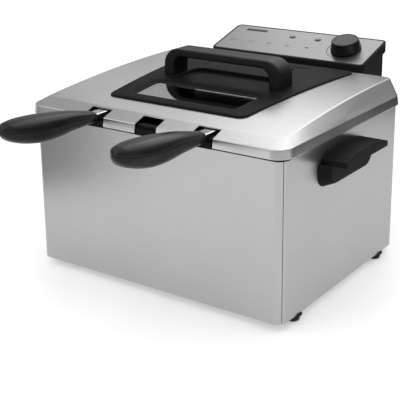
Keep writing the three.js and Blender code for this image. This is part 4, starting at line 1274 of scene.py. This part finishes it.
def add_rear_fittings():
    x_range, y_range, z_range = span("reset_button")
    radius = (x_range[1] - x_range[0]) / 2
    centre = (sum(x_range) / 2, sum(z_range) / 2)
    button = prism("y", ellipse(*centre, radius, radius, 40), *y_range, (0.4, 1.0))
    add_piece("reset_button_cap", button, RED_PLASTIC, "reset_button", ["reset_button"])
    x_range, y_range, z_range = span("cord_gland")
    wide = (x_range[1] - x_range[0]) / 2
    centre = (sum(x_range) / 2, sum(z_range) / 2)
    face = span("control_housing")[1][1]
    rings = [(wide - 2.5, y_range[0]), (wide - 2.5, face + FIT), (wide, face + FIT), (wide, y_range[1]),
             (3.6, y_range[1]), (3.6, y_range[0])]
    rows = [by_axis("y", ellipse(*centre, r, r, 48)(0), y) for r, y in rings]
    gland = Shape().loft(soften(rows, [0.3, 0, 0.5, 0.8, 0.7, 0.3], wrap=True), wrap=True)
    add_piece("cord_gland_moulding", gland, RUBBER, "control_unit", ["cord_gland"])


# ---------- studio ----------
CAMERA_PLACE = (677.7, -988.7, 521.4)
CAMERA_AZIMUTH = 34.62
CAMERA_ELEVATION = 17.13
CAMERA_ROLL = -0.48
CAMERA_LENS = 88.49
CAMERA_SHIFT = (-0.04, -0.1375)


def add_camera():
    data = bpy.data.cameras.new("camera")
    data.sensor_width = 36
    data.lens = CAMERA_LENS
    data.shift_x, data.shift_y = CAMERA_SHIFT
    data.clip_start, data.clip_end = 0.01, 100
    camera = bpy.data.objects.new("camera", data)
    bpy.context.scene.collection.objects.link(camera)
    azimuth, elevation = math.radians(CAMERA_AZIMUTH), math.radians(CAMERA_ELEVATION)
    back = Vector((math.sin(azimuth) * math.cos(elevation), -math.cos(azimuth) * math.cos(elevation),
                   math.sin(elevation)))
    turn = (-back).to_track_quat("-Z", "Y").to_matrix() @ Matrix.Rotation(math.radians(CAMERA_ROLL), 3, "Z")
    x, y, z = CAMERA_PLACE
    camera.matrix_world = Matrix.Translation(Vector((x, y + MIDDLE_Y, z)) * MM) @ turn.to_4x4()
    bpy.context.scene.camera = camera


def add_light(name, place, aim, size, energy):
    data = bpy.data.lights.new(name, "AREA")
    data.shape = "RECTANGLE"
    data.size, data.size_y = size
    data.energy = energy
    light = bpy.data.objects.new(name, data)
    bpy.context.scene.collection.objects.link(light)
    light.location = place
    light.rotation_euler = (Vector(aim) - Vector(place)).to_track_quat("-Z", "Y").to_euler()
    light.visible_camera = False


def add_card(name, azimuth, elevation, width, height, level, distance=2.2):
    """A reflector seen only in glossy surfaces. Azimuth is measured from +Y towards +X, in degrees."""
    a, e = math.radians(azimuth), math.radians(elevation)
    place = Vector((math.sin(a) * math.cos(e), math.cos(a) * math.cos(e), math.sin(e))) * distance
    place.z += 0.15
    mesh = bpy.data.meshes.new(name)
    corners = [(-width / 2, -height / 2, 0), (width / 2, -height / 2, 0), (width / 2, height / 2, 0),
               (-width / 2, height / 2, 0)]
    mesh.from_pydata(corners, [], [(0, 1, 2, 3)])
    card = bpy.data.objects.new(name, mesh)
    bpy.context.scene.collection.objects.link(card)
    card.location = place
    card.rotation_euler = (Vector((0, 0, 0.15)) - place).to_track_quat("Z", "Y").to_euler()
    material = bpy.data.materials.new(name)
    material.use_nodes = True
    tree = material.node_tree
    tree.nodes.clear()
    glow = tree.nodes.new("ShaderNodeEmission")
    glow.inputs["Color"].default_value = grey(1)
    glow.inputs["Strength"].default_value = level
    out = tree.nodes.new("ShaderNodeOutputMaterial")
    tree.links.new(glow.outputs["Emission"], out.inputs["Surface"])
    mesh.materials.append(material)
    card.visible_camera = False
    card.visible_diffuse = False
    card.visible_shadow = False
    card.visible_transmission = False


def add_floor():
    size = 30.0
    mesh = bpy.data.meshes.new("floor")
    corners = [(-size, -size, 0), (size, -size, 0), (size, size, 0), (-size, size, 0)]
    mesh.from_pydata(corners, [], [(0, 1, 2, 3)])
    floor = bpy.data.objects.new("floor", mesh)
    bpy.context.scene.collection.objects.link(floor)
    look = Look("floor", Roughness=0.35, Specular_IOR_Level=0.35, Emission_Color=grey(1),
                Emission_Strength=0.3)
    clouds = look.noise(0.8, detail=2)
    look.set("Base Color", look.blend(look.between(clouds, 0, 1), grey(0.93), grey(0.95)))
    mesh.materials.append(look.material)


def add_world():
    """White behind the object. In reflections it is brighter overhead than at the horizon."""
    world = bpy.data.worlds.new("studio")
    bpy.context.scene.world = world
    world.use_nodes = True
    tree = world.node_tree
    place = tree.nodes.new("ShaderNodeTexCoord").outputs["Generated"]
    split = tree.nodes.new("ShaderNodeSeparateXYZ")
    tree.links.new(place, split.inputs["Vector"])
    ramp = tree.nodes.new("ShaderNodeMapRange")
    ramp.interpolation_type = "SMOOTHSTEP"
    for socket, value in (("From Min", 0.22), ("From Max", 0.62), ("To Min", 0.42), ("To Max", 1.1)):
        ramp.inputs[socket].default_value = value
    tree.links.new(split.outputs["Z"], ramp.inputs["Value"])
    rays = tree.nodes.new("ShaderNodeLightPath").outputs
    strength = ramp.outputs["Result"]
    for ray, level in (("Is Diffuse Ray", 0.75), ("Is Camera Ray", 1.0)):
        pick = tree.nodes.new("ShaderNodeMix")
        tree.links.new(rays[ray], pick.inputs[0])
        tree.links.new(strength, pick.inputs[2])
        pick.inputs[3].default_value = level
        strength = pick.outputs[0]
    background = tree.nodes["Background"]
    background.inputs["Color"].default_value = grey(1)
    tree.links.new(strength, background.inputs["Strength"])


def add_studio():
    add_camera()
    add_world()
    add_floor()
    add_light("key", (-1.2, -1.6, 2.4), (0, 0, 0.1), (1.6, 1.6), 10)
    add_light("top", (0.3, 0.6, 2.6), (0, 0, 0.1), (1.8, 1.8), 12)
    add_card("left_front_card", 234, 0, 0.3, 0.34, 0.3, distance=0.5)
    add_card("right_rear_card", 38, -1, 1.4, 0.36, 0.04, distance=0.95)
    add_card("overhead_card", 356, 52, 0.95, 0.8, 2.1, distance=0.98)
    add_card("left_overhead_card", 289, 40, 0.6, 0.6, 0.45, distance=1.17)
    add_card("front_card", 208, 3, 0.7, 0.35, 1.8, distance=1.3)
    scene = bpy.context.scene
    scene.view_settings.view_transform = "Standard"
    scene.view_settings.look = "None"


add_housing()
add_feet()
add_rim_frame()
add_pot()
add_side_handles()
add_lid_shell()
add_lid_insert()
add_window()
add_filter()
add_lid_handle()
for basket in ("left", "right"):
    add_basket(basket)
add_control_housing()
add_control_cap()
add_faceplate()
add_lamps()
add_knob()
add_element()
add_small_parts()
add_rear_fittings()
add_studio()
